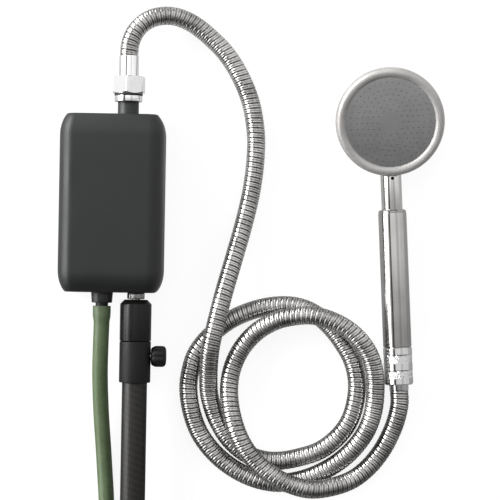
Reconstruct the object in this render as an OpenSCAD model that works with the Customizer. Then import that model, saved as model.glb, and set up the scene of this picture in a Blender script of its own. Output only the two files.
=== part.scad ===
// Camp shower pump: battery pump case on a telescoping stand, with a ribbed steel
// shower hose, a hand shower and a green intake hose. It lies on its back on z = 0.
// Origin: middle of the case's back face. +X right, +Y to the outlet, +Z out of the front.

/* [Case] */
// Width of the pump case
body_w = 81; // [80:1:96]
// Height of the pump case
body_h = 138; // [134:1:160]
// Depth of the pump case
body_d = 46; // [46:1:56]
// Wall of the case
wall = 2.6; // [2:0.1:3]
// Width of a corner curve, seen from the front
corner_w = 12; // [8:1:12]
// Height of a corner curve, seen from the front
corner_h = 20; // [14:1:22]
// How far the corner curves would run past the flat ends
end_cut = 3; // [1:0.5:4]
// Rounding of the front edges
front_round = 15; // [10:1:16]
// Rounding of the back edges
back_round = 3; // [2:0.5:4]
// Height of the joint between rear cover and front shell
split_z = 12; // [9:0.5:13]
// Height of the raised panel on the back
panel_t = 0.4; // [0.2:0.1:1]
// Diameter of the power button
button_d = 11.6; // [9:0.2:13]
// How far the button stands out of the case
button_out = 0.6; // [0.4:0.1:1.5]
// Length of the charge port's plug
plug_w = 14; // [12.5:0.5:15]

/* [Outlet] */
// Sideways place of the outlet
outlet_x = 11.5; // [11:0.5:13]
// Diameter of the outlet stub
stub_d = 16.4; // [14:0.2:18]
// Length of the outlet stub above the case
stub_len = 9.9; // [6:0.1:14]
// Diameter of the adapter ring
adapter_d = 21.8; // [21:0.2:24]
// Length of the adapter ring
adapter_len = 5.1; // [4:0.1:8]
// Diameter of the hose threads
thread_d = 20.4; // [19:0.2:20.6]
// Hexagon nut across its flats
hex_af = 24; // [23:0.5:27]
// Length of the hexagon nut
hex_len = 13.3; // [12:0.1:18]
// Diameter of the ferrule at the pump
ferrule_d = 15.6; // [14.6:0.2:17]
// Length of the ferrule above the nut
ferrule_len = 16.4; // [10:0.2:20]

/* [Shower hose] */
// Outer diameter of the shower hose
hose_d = 14.6; // [12:0.2:14.6]
// Bore of the shower hose
hose_bore = 9; // [7:0.2:10]
// Depth of a rib
rib_depth = 0.5; // [0.4:0.1:1.2]
// Number of ribs
ribs = 180; // [100:2:200]

/* [Hand shower] */
// Diameter of the head's rim
head_d = 84.8; // [80:0.2:100]
// Diameter of the spray plate that shows
plate_d = 70; // [60:0.5:70]
// Depth of the head, face to back
head_depth = 30; // [27:0.5:32]
// Tilt of the head towards the handle
head_tilt = 12; // [5:1:12]
// Diameter of the neck
neck_d = 16.4; // [14:0.2:18]
// Distance from the head's middle to the handle
handle_from = 68.1; // [64:0.1:90]
// Diameter of the handle
handle_d = 22.2; // [21.6:0.2:22.6]
// Length of the handle
handle_len = 107.6; // [80:0.2:120]
// Diameter of the knurled nut
knurl_d = 22.6; // [22.6:0.2:26]
// Length of the knurled nut
knurl_len = 29; // [24:0.5:36]
// Diameter of the ferrule at the handle
head_ferrule_d = 15; // [14.6:0.2:17]

/* [Intake] */
// Sideways place of the inlet
inlet_x = -6.5; // [-8:0.5:-6]
// Diameter of the inlet collar at the case
inlet_d = 17; // [15:0.2:18]
// Length of the inlet collar
inlet_len = 8.3; // [5:0.1:11]
// Outer diameter of the intake hose
intake_d = 12.3; // [10:0.1:12.5]
// Outer diameter of the intake hose over the barb
cuff_d = 14; // [13:0.1:15]
// Bore of the inlet fitting
inlet_bore = 6; // [4:0.2:7]
// Diameter of the strainer
strainer_d = 25; // [20:0.5:30]
// Length of the strainer
strainer_len = 38; // [25:1:50]

/* [Stand] */
// Sideways place of the stand
stand_x = 20; // [20:0.5:24]
// Diameter of the stud
stud_d = 6.2; // [5:0.1:6.4]
// Diameter of the lock nut
locknut_d = 13.8; // [12:0.2:18]
// Thickness of the lock nut
locknut_t = 4.7; // [3:0.1:6]
// Diameter of the top cap
cap_d = 24.5; // [23:0.1:28]
// Length of the top cap
cap_len = 32; // [28:0.5:45]
// Diameter of the lock collar
collar_d = 24.4; // [23.8:0.1:26]
// Length of the lock collar
collar_len = 31.8; // [28:0.1:40]
// Outer diameter of the inner tube
inner_d = 16; // [12:0.2:16.2]
// Length of the inner tube
inner_len = 248; // [150:1:250]
// Outer diameter of the pole
pole_d = 19.5; // [19.3:0.1:20.2]
// Wall of the pole
pole_wall = 1.1; // [0.8:0.1:1.2]
// Length of the pole
pole_len = 253; // [251:1:300]
// Diameter of the stand spigot that the foot socket takes
spigot_d = 16; // [12:0.5:17]
// Depth of the foot socket
socket_depth = 33; // [20:1:45]
// Diameter of the clamp knob
knob_d = 16.8; // [14:0.2:20]
// Length of the clamp knob
knob_len = 11.7; // [9:0.1:16]
// Diameter of the clamp screw
screw_d = 5; // [4:0.2:6]

/* [Hidden] */
$fn = 64;

// Fits
run_gap = 0.05;
slide_gap = 0.1;
loose_gap = 0.3;
face_gap = 0.2;

// Inside of the case
axis_z = body_d / 2;
top_y = body_h / 2;
in_x = body_w / 2 - wall;
in_y = body_h / 2 - wall;
floor_z = panel_t + wall;
gasket_t = 1;
boss_r = 3.4;
boss_x = in_x - boss_r + 0.5;
boss_inset = 20;
boss_y = in_y - boss_inset;
boss_top = body_d - front_round - 1;
screw_r = 1.4;
screw_head_r = 2.8;
screw_head_t = 2;
screw_end = boss_top - 4;

// Outlet, measured along +Y
flange_t = 2;
flange_r = stub_d / 2 + 1.2;
tube_spigot_r = 3.25;
tube_spigot_len = 10;
tube_r = 5;
stub_top = top_y + stub_len;
adapter_top = stub_top + adapter_len;
stub_spigot_r = 6.5;
stub_spigot_len = 7;
water_r = 4.6;
thread_len = 8;
thread_top = adapter_top + thread_len;
seal_t = 1.3;
nut_bottom = adapter_top + seal_t + face_gap;
nut_top = nut_bottom + hex_len;
washer_t = 1.9;
lip_t = 1.2;
lip_top = thread_top + washer_t + lip_t;
hose_start = nut_top + ferrule_len;

// Pump, measured up from the case's bottom inner face
cover_boss_from = 4;
cover_from = 8;
cover_t = 3.5;
housing_from = cover_from + cover_t;
housing_r = 18.5;
chamber_r = 15;
chamber_len = 11.5;
chamber_to = housing_from + chamber_len;
housing_len = 17.5;
housing_to = housing_from + housing_len;
pocket_from = chamber_to + 1;
seal_len = 3.5;
shaft_r = 1.5;
shank_r = 6;
cover_boss_r = shank_r + 2;
eye_r = 4;
ear_from = housing_from + 3.5;
ear_r = 5.5;
port_r = 2.5;
motor_r = 12;
motor_wall = 1;
motor_end_t = 2;
motor_len = 34;
motor_to = housing_to + motor_len;
motor_cap_t = 3;
terminal_len = 4;
armature_r = 8.9;
magnet_r = 9.4;

// Battery and board
web_t = 1.7;
cell_edge = 0.4;
tube_room = 1.1;
usual_cell_r = 9.2;
cell_room = in_x - cell_edge - (outlet_x + tube_r + tube_room + web_t + face_gap);
cell_r = min(usual_cell_r, cell_room / 2);
cell_half = 32.6;
cell_x = in_x - cell_r - cell_edge;
cell_z = floor_z + cell_r + 0.6;
cell_step = 2 * cell_r + 1.2;
board_t = 1.6;
board_left = -in_x + 10;
board_right = outlet_x - tube_r - 2.5;
board_top = in_y - 6.4;
board_room = 4.4;
board_bottom = -in_y + motor_to + motor_cap_t + terminal_len + board_room;
board_w = board_right - board_left;
board_h = board_top - board_bottom;
button_edge = 13.1;
button_x = -in_x + button_edge;
switch_tall = 6.4;
board_z = axis_z - switch_tall / 2 - board_t;
button_travel = 1;
port_room = 1.5;
port_x = inlet_x - cover_boss_r - port_room - plug_w / 2;
port_slot_w = 8.9;
port_slot_h = 3.2;
port_depth = 7.3;
plug_h = 7;
plug_t = 1.2;
plug_recess = plug_t + 0.1;

// Hand shower, measured from the head's middle down the handle
handset_x = 215.05;
handset_y = 67.1;
handset_turn = 3.2;
handle_z = knurl_d / 2;
handle_to = handle_from + handle_len;
nut_from = handle_to + 0.5;
nut_to = nut_from + knurl_len;
spigot_to = handle_to + 11.5;
head_lip_to = spigot_to + washer_t + lip_t;
head_ferrule_to = nut_to + 4.8;
rim_r = head_d / 2;
bowl_r = rim_r - 1.6;
plate_r = plate_d / 2 + 2;
plate_t = 1;
plate_gasket_t = 1.2;
ledge_z = 2;
plate_z = ledge_z + plate_gasket_t;
plate_face = plate_z + plate_t;
rim_top = plate_face + 2.6;
bowl_back = head_depth - rim_top;
bowl_t = 1.3;
rim_foot = -2.5;
rim_crest_r = plate_r + (rim_r - plate_r) * 0.3;
rim_shoulder_r = plate_r + (rim_r - plate_r) * 0.55;
head_port_r = 3.2;
head_port_drop = -4;
head_port_in = 14;
head_port_out = 10;
bowl_flat_r = bowl_r * 0.58;
bowl_flat_z = bowl_back - 1.9;
head_z = bowl_flat_r * sin(head_tilt) + bowl_flat_z * cos(head_tilt) + 0.05;
neck_wall = 1.2;
neck_into_handle = 10;
neck_into_head = 12;
spray_rings = [[10, 12], [14, 18], [18, 24], [22, 30], [26, 36], [31, 42]];
spray_hole_r = 0.3;

// Intake
collar_end = top_y + inlet_len;
neck_len = 2.5;
neck_r = 4.9;
intake_start = collar_end + neck_len;
barb_len = 11;
straight_run = 14;
intake_r = intake_d / 2;
tie_t = 1.2;
coil_low = tie_t + intake_r + 0.05;
coil_step = intake_d + 0.6;
coil_x = -75;
coil_y = -318;
coil_outer = 72;
coil_wind = 1.375;
coil_climb = 0.5;
coil_lead = 8;
coil_turns = 2 * coil_wind + coil_climb;
tail_y = coil_y - coil_outer;
tail_x = -136;
tail_z = strainer_d / 2;
tie_w = 14;
tie_turn = 0.125;

// Stand, measured down along -Y
locknut_from = top_y + loose_gap;
cap_from = locknut_from + locknut_t + 0.6;
cap_to = cap_from + cap_len;
cap_chamfer = 3.3;
insert_r = 5;
insert_len = 11;
insert_boss_r = 7.3;
stud_into_cap = 8;
tube_grip = 24.5;
inner_from = cap_to - tube_grip;
inner_to = inner_from + inner_len;
inner_wall = 1.2;
bush_len = 12;
collar_gap = 0.4;
collar_from = cap_to + collar_gap;
collar_to = collar_from + collar_len;
collar_shoulder = 4.9;
clamp_drop = 11.4;
pole_from = collar_from + collar_shoulder;
pole_to = pole_from + pole_len;
pole_bore_r = pole_d / 2 - pole_wall;
clamp_at = collar_from + clamp_drop;
pad_t = 1.5;
pad_from = inner_d / 2 + face_gap;
knob_from = collar_d / 2 + loose_gap;
knob_to = knob_from + knob_len;
socket_grip = 20;
socket_r = collar_d / 2;
socket_from = pole_to - socket_grip;
socket_to = pole_to + 2 + socket_depth;

// Routes: points on the middle of each hose, chosen on the table top
hose_z = hose_d / 2 + face_gap;
over_z = hose_z + hose_d + 0.9;
hose_lead = 2.5;
hose_last = 10;
hose_sag = 0.4;
shower_end = handset_point([0, -head_ferrule_to - face_gap, handle_z]);
shower_route = [
    [outlet_x, hose_start + face_gap, axis_z], [outlet_x, hose_start + hose_lead, axis_z],
    [12.2, 124.6, 23], [15.4, 133, 22.5], [21.1, 140.1, 21.3], [28.7, 145, 19.4], [37.5, 147.3, 16.9],
    [46, 147.3, 14.3], [54.5, 144.9, 11.7], [63.2, 140.4, 9.5], [74, 132, 8], [87, 119, hose_z],
    [98.5, 101, hose_z], [107, 80, hose_z],
    [111, 57, hose_z], [111, 36, hose_z], [108.3, 12, hose_z], [103, -13, 9.2], [95.6, -41, 15],
    [88.5, -67, 21.4], [83, -90, over_z],
    [79.2, -108, 22.4], [77.7, -120, 19], [77.2, -132, 14.5], [77.7, -146, 10], [80.5, -158, 8],
    [85, -169, hose_z], [94, -183, hose_z], [107, -194, hose_z], [121, -199, hose_z],
    [135, -199.5, hose_z], [150, -196.5, hose_z], [165.5, -191, hose_z], [179, -180.6, hose_z],
    [188.3, -167.6, hose_z], [193, -152, hose_z], [193.8, -136, hose_z], [190, -120, hose_z],
    [182, -106, hose_z], [171.5, -93, hose_z], [158.5, -82.8, hose_z], [144.5, -77.9, hose_z],
    [129, -77.7, hose_z], [111, -81.7, hose_z], [93, -90, hose_z], [77.6, -102.6, hose_z],
    [67.4, -116, hose_z], [62.9, -130, hose_z], [61.5, -145, hose_z], [64.5, -163, hose_z],
    [71.5, -180, hose_z], [83.5, -195, hose_z], [98.5, -206.5, hose_z], [115, -214, hose_z],
    [132.5, -217, hose_z], [150, -214.5, hose_z], [166, -208.5, hose_z], [180.5, -199.5, 8.6],
    [192, -188.5, 11], [201.3, -175, 12.4], [206.5, -160, 13.4], [208, -144, 15],
    [207, -129, 17.3], [203.2, -116, 19.6], [195.6, -104.2, 21.9], [184.2, -94.2, over_z],
    [170.5, -87.5, over_z + 0.4], [157, -84.5, over_z + 0.2], [143, -85.5, 22.5],
    [128.5, -89.5, 19.8], [114, -98.5, 16.6], [102.5, -112, 13.9], [95.5, -128, 12.8],
    [93.5, -145, 14.5], [96, -163, 19.3], [102.5, -181, 23], [112.5, -196, over_z],
    [126, -207.7, over_z], [140.5, -215.4, over_z], [157, -219.8, 21.9], [174.5, -218.5, 16.6],
    [191.3, -213, 10.8], [204.8, -202.4, 8.1], [215, -189, hose_z], [221.8, -175, 8.7],
    [225.5, -163.5, 10.2],
    handset_point([0, -head_ferrule_to - hose_last, handle_z - hose_sag]), shower_end
];
intake_route = [
    [inlet_x, -intake_start, axis_z], [inlet_x, -intake_start - straight_run, axis_z], [-7, -112, 21.3],
    [-7.4, -131, 18], [-7, -150, 14.5], [-6, -170, 11.3], [-4.5, -190, 9], [-3, -211, 7.8],
    [-1.5, -233, coil_low], [-1.2, -256, coil_low], [-1.7, -280, coil_low], [-2.6, -302, coil_low],
    [coil_x + coil_outer, coil_y + coil_lead, coil_low], [coil_x + coil_outer, coil_y, coil_low]
];
tail_route = [[-90, -391, 19.2], [-106, -390.6, 15.6], [tail_x + straight_run, tail_y, tail_z],
    [tail_x, tail_y, tail_z]];

// A point of the hand shower in the part's frame
function handset_point(p) = [
    handset_x + p.x * cos(handset_turn) - p.y * sin(handset_turn),
    handset_y + p.x * sin(handset_turn) + p.y * cos(handset_turn),
    p.z
];

// A smooth curve through a list of points, with steps points on each stretch
function curve_point(a, b, c, d, t) =
    0.5 * (2 * b + (c - a) * t + (2 * a - 5 * b + 4 * c - d) * t * t
        + (3 * b - a - 3 * c + d) * t * t * t);
function curve(p, steps) = let (last = len(p) - 1) [
    for (i = [0:last - 1], k = [0:steps - 1])
        curve_point(
            i == 0 ? 2 * p[0] - p[1] : p[i - 1], p[i], p[i + 1],
            i == last - 1 ? 2 * p[last] - p[last - 1] : p[i + 2], k / steps
        ),
    p[last]
];

// The distance along a line at each of its points
function distances(p) = [
    for (i = 0, s = 0; i < len(p); i = i + 1, s = i < len(p) ? s + norm(p[i] - p[i - 1]) : s) s
];

// The same line with count + 1 points an even distance apart
function evenly(p, count) =
    let (
        s = distances(p),
        tables = [for (k = [0:2]) [for (i = [0:len(p) - 1]) [s[i], p[i][k]]]],
        total = s[len(p) - 1]
    )
    [for (i = [0:count]) [for (k = [0:2]) lookup(total * i / count, tables[k])]];

// A ring of points round each point of a line that stays nearly level
function unit(v) = v / norm(v);
function along(p, i) = unit(p[min(i + 1, len(p) - 1)] - p[max(i - 1, 0)]);
function ring(centre, ahead, r, sides) =
    let (side = unit(cross(ahead, [0, 0, 1])), up = cross(side, ahead))
    [for (k = [0:sides - 1]) centre + r * (side * cos(360 * k / sides) + up * sin(360 * k / sides))];

// Triangles between rings, and the two flat ends
function skin(rings, sides, first, turned) = [
    for (i = [0:rings - 2], k = [0:sides - 1])
        let (
            a = first + i * sides + k, b = first + i * sides + (k + 1) % sides,
            c = a + sides, d = b + sides
        )
        for (f = turned ? [[a, b, c], [b, d, c]] : [[a, c, b], [b, c, d]]) f
];
function fan(first, sides, turned) = [
    for (k = [1:sides - 2]) turned ? [first, first + k + 1, first + k] : [first, first + k, first + k + 1]
];
function annulus(outer, inner, sides, turned) = [
    for (k = [0:sides - 1])
        let (n = (k + 1) % sides)
        for (f = turned
            ? [[outer + k, inner + k, outer + n], [outer + n, inner + k, inner + n]]
            : [[outer + k, outer + n, inner + k], [outer + n, inner + n, inner + k]]) f
];

// The least gap between stretches of one hose that are more than skip points apart
function least_gap(p, d, skip) =
    min([for (i = [0:len(p) - skip - 1]) min([for (j = [i + skip:len(p) - 1]) norm(p[i] - p[j])])]) - d;

// A solid hose with the given radius at each point of its line
module solid_hose(p, radii, sides) {
    rings = len(p);
    points = [for (i = [0:rings - 1]) each ring(p[i], along(p, i), radii[i], sides)];
    polyhedron(points, concat(
        skin(rings, sides, 0, false),
        fan(0, sides, false),
        fan((rings - 1) * sides, sides, true)
    ));
}

// Places along the outlet, below the case, and along the handle
module on_outlet() translate([outlet_x, 0, axis_z]) rotate([-90, 0, 0]) children();
module below(x) translate([x, 0, axis_z]) rotate([90, 0, 0]) children();
module on_pump() translate([inlet_x, -in_y, axis_z]) rotate([-90, 0, 0]) children();
module on_handle() translate([handset_x, handset_y, handle_z]) rotate([90, 0, handset_turn]) children();
module on_head() translate([handset_x, handset_y, head_z]) rotate([head_tilt, 0, handset_turn]) children();
module on_clamp() translate([stand_x, -clamp_at, axis_z]) rotate([0, 90, 0]) children();
module on_strainer() translate([tail_x, tail_y, tail_z]) rotate([0, -90, 0]) children();

// A round length from one place to another, and a ring
module rod(r, from, to) translate([0, 0, from]) cylinder(r = r, h = to - from);
module cone(r1, r2, from, to) translate([0, 0, from]) cylinder(r1 = r1, r2 = r2, h = to - from);
module pipe(r, bore_r, from, to) difference() {
    rod(r, from, to);
    rod(bore_r, from - 1, to + 1);
}

// The case's outside, drawn in by an inset: rounded posts at the corners, cut flat at both ends
function corner_outline(r, low, high, front, back) = concat(
    [[0, low]],
    [for (a = [-90:30:0]) [r - back + back * cos(a), low + back + back * sin(a)]],
    [for (a = [0:15:90]) [r * cos(a), high - front + front * sin(a)]]
);
module corners_hull(inset) hull()
    for (x = [-1, 1], y = [-1, 1])
        translate([x * (body_w / 2 - corner_w), y * (body_h / 2 + end_cut - corner_h), 0])
            scale([1, (corner_h - inset) / (corner_w - inset), 1]) children();
module between_ends(inset) translate([-body_w, inset - body_h / 2, -body_d])
    cube([2 * body_w, body_h - 2 * inset, 3 * body_d]);
module case_form(inset, low) {
    front = front_round - inset;
    back = max(back_round - inset, 0.4);
    intersection() {
        corners_hull(inset) rotate_extrude($fn = 32)
            polygon(corner_outline(corner_w - inset, low, body_d - inset, front, back));
        between_ends(inset);
    }
}
module case_slice(inset, low, high) {
    intersection() {
        corners_hull(inset) translate([0, 0, low]) cylinder(r = corner_w - inset, h = high - low, $fn = 32);
        between_ends(inset);
    }
}
module case_cut(from, to) translate([-body_w, -body_h, from]) cube([2 * body_w, 2 * body_h, to - from]);
module at_bosses() for (x = [-1, 1], y = [-1, 1]) translate([x * boss_x, y * boss_y, 0]) children();
module port_box(w, h, from, to)
    translate([port_x - w / 2, from, axis_z - h / 2]) cube([w, to - from, h]);

module front_shell() {
    color([0.2, 0.21, 0.21]) difference() {
        union() {
            difference() {
                case_form(0, panel_t);
                case_cut(-1, split_z);
                case_form(wall, floor_z);
            }
            at_bosses() rod(boss_r, split_z, boss_top);
            below(stand_x) rod(insert_boss_r, in_y - insert_len - 0.5, in_y + 0.5);
        }
        at_bosses() rod(screw_r + run_gap, split_z - 1, screw_end + 0.5);
        on_outlet() rod(stub_d / 2 + slide_gap, in_y - 1, top_y + 1);
        below(inlet_x) rod(shank_r + slide_gap, in_y - 1, top_y + 1);
        below(stand_x) rod(insert_r + run_gap, in_y - insert_len - 1, top_y + 1);
        translate([button_x, 0, axis_z]) rotate([-90, 0, 0])
            rod(button_d / 2 + loose_gap, in_y - 1, top_y + 1);
        port_box(plug_w + 2 * loose_gap, plug_h + 2 * loose_gap, -top_y - 1, -top_y + plug_recess);
        port_box(port_slot_w + face_gap, port_slot_h + face_gap, -top_y, -in_y + 1);
    }
}

module rear_cover() {
    color([0.17, 0.18, 0.18]) difference() {
        union() {
            difference() {
                case_form(0, panel_t);
                case_cut(split_z, body_d + 1);
                case_form(wall, floor_z);
            }
            translate([-body_w / 2 + corner_w, -body_h / 2 + corner_h, 0])
                cube([body_w - 2 * corner_w, body_h - 2 * corner_h, floor_z]);
            at_bosses() rod(boss_r, floor_z - 1, split_z);
            for (x = [board_left + 3, board_right - 3], y = [board_bottom + 3, board_top - 3])
                translate([x, y, 0]) rod(2.4, floor_z - 1, board_z);
        }
        difference() {
            case_slice(wall / 2, split_z - gasket_t, split_z + 1);
            case_slice(wall, split_z - gasket_t - 1, split_z + 2);
            at_bosses() rod(boss_r, 0, split_z);
        }
        at_bosses() rod(screw_r + slide_gap, -1, split_z + 1);
        at_bosses() rod(screw_head_r + face_gap, -1, panel_t + screw_head_t + face_gap);
    }
}

module case_gasket() {
    color([0.08, 0.08, 0.08]) difference() {
        case_slice(wall / 2, split_z - gasket_t, split_z);
        case_slice(wall, split_z - gasket_t - 1, split_z + 1);
        at_bosses() rod(boss_r + slide_gap, 0, split_z + 1);
    }
}

module case_screws() {
    color([0.6, 0.6, 0.62]) at_bosses() difference() {
        union() {
            rod(screw_head_r, panel_t + face_gap, panel_t + face_gap + screw_head_t);
            rod(screw_r, panel_t + 1, screw_end);
        }
        translate([0, 0, panel_t]) cylinder(r = 1.2, h = 1.2, $fn = 6);
    }
}

module outlet_stub() {
    color([0.5, 0.51, 0.52]) on_outlet() difference() {
        union() {
            rod(tube_spigot_r, in_y - flange_t - tube_spigot_len, in_y);
            rod(flange_r, in_y - flange_t, in_y - loose_gap);
            rod(stub_d / 2, in_y - flange_t, stub_top);
            rod(stub_spigot_r, stub_top - 1, stub_top + stub_spigot_len);
        }
        rod(port_r, 0, stub_top);
        rod(water_r, in_y, stub_top + stub_spigot_len + 1);
    }
}

module outlet_adapter() {
    color([0.8, 0.8, 0.82]) on_outlet() difference() {
        union() {
            rod(adapter_d / 2, stub_top, adapter_top);
            rod(thread_d / 2, adapter_top - 1, thread_top);
        }
        rod(stub_spigot_r + run_gap, stub_top - 1, stub_top + stub_spigot_len + 0.1);
        rod(water_r, stub_top, thread_top + 1);
    }
}

module thread_seal() {
    color([0.06, 0.06, 0.06]) on_outlet()
        pipe(thread_d / 2 + 0.9, thread_d / 2 + run_gap, adapter_top, adapter_top + seal_t);
}

module hose_washer() {
    color([0.06, 0.06, 0.06]) on_outlet()
        pipe(thread_d / 2 - 0.6, water_r, thread_top, thread_top + washer_t);
}

module hex_nut() {
    round_r = hex_af / sqrt(3);
    edge = 1.3;
    color([0.85, 0.85, 0.87]) on_outlet() rotate(25) difference() {
        intersection() {
            translate([0, 0, nut_bottom]) cylinder(r = round_r, h = hex_len, $fn = 6);
            union() {
                cone(round_r - edge, round_r, nut_bottom, nut_bottom + edge);
                rod(round_r, nut_bottom + edge, nut_top - edge);
                cone(round_r, round_r - edge, nut_top - edge, nut_top);
            }
        }
        rod(thread_d / 2 + slide_gap, nut_bottom - 1, lip_top + face_gap);
        rod(ferrule_d / 2 + slide_gap, nut_bottom, nut_top + 1);
    }
}

module pump_ferrule() {
    color([0.85, 0.85, 0.87]) on_outlet() difference() {
        union() {
            rod(thread_d / 2 - 0.5, lip_top - lip_t, lip_top);
            rod(ferrule_d / 2, lip_top - lip_t, hose_start);
        }
        rod(water_r, lip_top - lip_t - 1, hose_start + 1);
    }
}

module shower_hose() {
    sides = 8;
    rings = 2 * ribs + 1;
    fine = curve(shower_route, 8);
    line = evenly(fine, rings - 1);
    inner_every = 4;
    inner = [for (i = [0:inner_every:rings - 1]) i];
    outer_points = [
        for (i = [0:rings - 1])
            each ring(line[i], along(line, i), hose_d / 2 - (i % 2) * rib_depth, sides)
    ];
    bore_points = [for (i = inner) each ring(line[i], along(line, i), hose_bore / 2, sides)];
    first = rings * sides;
    total = distances(fine)[len(fine) - 1];
    probe = evenly(fine, 600);
    skip = ceil(3 * hose_d * 600 / total);
    gap = least_gap(probe, hose_d, skip);
    echo(str("shower hose: ", total, " mm long, least gap to itself ", gap, " mm"));
    color([0.72, 0.73, 0.75]) polyhedron(concat(outer_points, bore_points), concat(
        skin(rings, sides, 0, false),
        skin(len(inner), sides, first, true),
        annulus(0, first, sides, false),
        annulus((rings - 1) * sides, first + (len(inner) - 1) * sides, sides, true)
    ));
}

module head_ferrule() {
    color([0.85, 0.85, 0.87]) on_handle() difference() {
        union() {
            rod(thread_d / 2 - 0.5, head_lip_to - lip_t, head_lip_to);
            rod(head_ferrule_d / 2, head_lip_to - lip_t, head_ferrule_to);
        }
        rod(water_r, head_lip_to - lip_t - 1, head_ferrule_to + 1);
    }
}

module knurled_nut() {
    color([0.85, 0.85, 0.87]) on_handle() difference() {
        rod(knurl_d / 2, nut_from, nut_to);
        rod(thread_d / 2 + slide_gap, nut_from - 1, head_lip_to + face_gap);
        rod(head_ferrule_d / 2 + slide_gap, nut_from, nut_to + 1);
    }
}

module handle_washer() {
    color([0.06, 0.06, 0.06]) on_handle()
        pipe(thread_d / 2 - 0.6, water_r, spigot_to, spigot_to + washer_t);
}

module handle_tube() {
    edge = 2.4;
    color([0.75, 0.76, 0.77]) on_handle() difference() {
        union() {
            cone(handle_d / 2 - edge, handle_d / 2, handle_from, handle_from + edge);
            rod(handle_d / 2, handle_from + edge, handle_to);
            rod(thread_d / 2, handle_to - 1, spigot_to);
        }
        rod(neck_d / 2 + run_gap, handle_from - 1, handle_from + neck_into_handle);
        rod(neck_d / 2 - neck_wall, handle_from, spigot_to + 1);
    }
}

// Sections of the bowl and the rim, from the middle outwards, and the head filled solid
bowl_outline = [
    [bowl_r, ledge_z], [bowl_r, -4], [bowl_r - 2, -bowl_back * 0.45],
    [bowl_r * 0.8, -bowl_back * 0.7], [bowl_flat_r, -bowl_flat_z],
    [bowl_flat_r * 0.5, -bowl_back], [0, -bowl_back]
];
rim_outline = [
    [plate_d / 2, plate_face + 0.7], [plate_r - 0.4, rim_top - 0.4], [rim_crest_r, rim_top],
    [rim_shoulder_r, rim_top - 0.7], [rim_r - 0.7, plate_face], [rim_r, 1.5], [rim_r, rim_foot + 0.8],
    [rim_r - 0.4, rim_foot], [bowl_r + slide_gap, rim_foot]
];
module turned(outline) rotate_extrude($fn = 96) polygon(outline);
module head_filled() turned(concat(
    [[0, rim_top]], [for (p = rim_outline) if (p.x > plate_r) p],
    [for (p = bowl_outline) if (p.y < rim_foot) p]
));

module neck_tube() {
    color([0.75, 0.76, 0.77]) difference() {
        on_handle() pipe(neck_d / 2, neck_d / 2 - neck_wall, bowl_r - neck_into_head,
            handle_from + neck_into_handle);
        on_head() head_filled();
    }
}

module head_bowl() {
    color([0.72, 0.73, 0.74]) difference() {
        on_head() difference() {
            turned(concat([[0, ledge_z]], bowl_outline));
            turned([
                [0, 0.8], [bowl_r - bowl_t, 0.8], [bowl_r - bowl_t, -3.8],
                [bowl_r - 2 - bowl_t, -bowl_back * 0.45 + 0.6],
                [bowl_r * 0.8 - 0.6, -bowl_back * 0.7 + bowl_t],
                [bowl_flat_r - 0.3, -bowl_flat_z + bowl_t],
                [bowl_flat_r * 0.5, -bowl_back + bowl_t], [0, -bowl_back + bowl_t]
            ]);
            rod(plate_d / 2 - 1, 0, ledge_z + 1);
        }
        on_handle() translate([0, head_port_drop, 0])
            rod(head_port_r, bowl_r - head_port_in, bowl_r + head_port_out);
    }
}

module head_rim() {
    color([0.8, 0.81, 0.82]) on_head() turned(concat(rim_outline, [
        [bowl_r + slide_gap, ledge_z], [plate_r + 0.2, ledge_z], [plate_r + 0.2, plate_face],
        [plate_d / 2, plate_face]
    ]));
}

module spray_plate() {
    color([0.62, 0.63, 0.64]) on_head() difference() {
        rod(plate_r, plate_z, plate_face);
        for (hole_ring = spray_rings, k = [0:hole_ring[1] - 1])
            rotate(360 * k / hole_ring[1]) translate([hole_ring[0], 0, 0])
                rod(spray_hole_r, plate_z - 1, plate_face + 1);
    }
}

module plate_gasket() {
    color([0.06, 0.06, 0.06]) on_head() pipe(plate_r, plate_d / 2 - 1, ledge_z, plate_z);
}

module inlet_fitting() {
    barb = 0.5;
    color([0.5, 0.51, 0.52]) below(inlet_x) difference() {
        union() {
            rod(shank_r, in_y - cover_from + face_gap, top_y + 1);
            cone(inlet_d / 2, inlet_d / 2 - 0.6, top_y, collar_end);
            rod(neck_r, collar_end - 1, intake_start + barb_len);
            for (k = [0:2])
                cone(neck_r + barb, neck_r, intake_start + 1 + 3.4 * k, intake_start + 4 + 3.4 * k);
        }
        rod(inlet_bore / 2, in_y - cover_from - 1, intake_start + barb_len + 1);
    }
}

module intake_hose() {
    line = evenly(curve(intake_route, 6), 36);
    cuff_step = (cuff_d - intake_d) / 4;
    taper = [
        for (i = [0:len(line) - 1]) i < 2 ? cuff_d / 2 : i < 3 ? intake_r + cuff_step : intake_r
    ];
    length = distances(line)[len(line) - 1];
    echo(str("intake hose, free stretch: ", length, " mm long"));
    color([0.38, 0.45, 0.32]) solid_hose(line, taper, 12);
}

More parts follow.
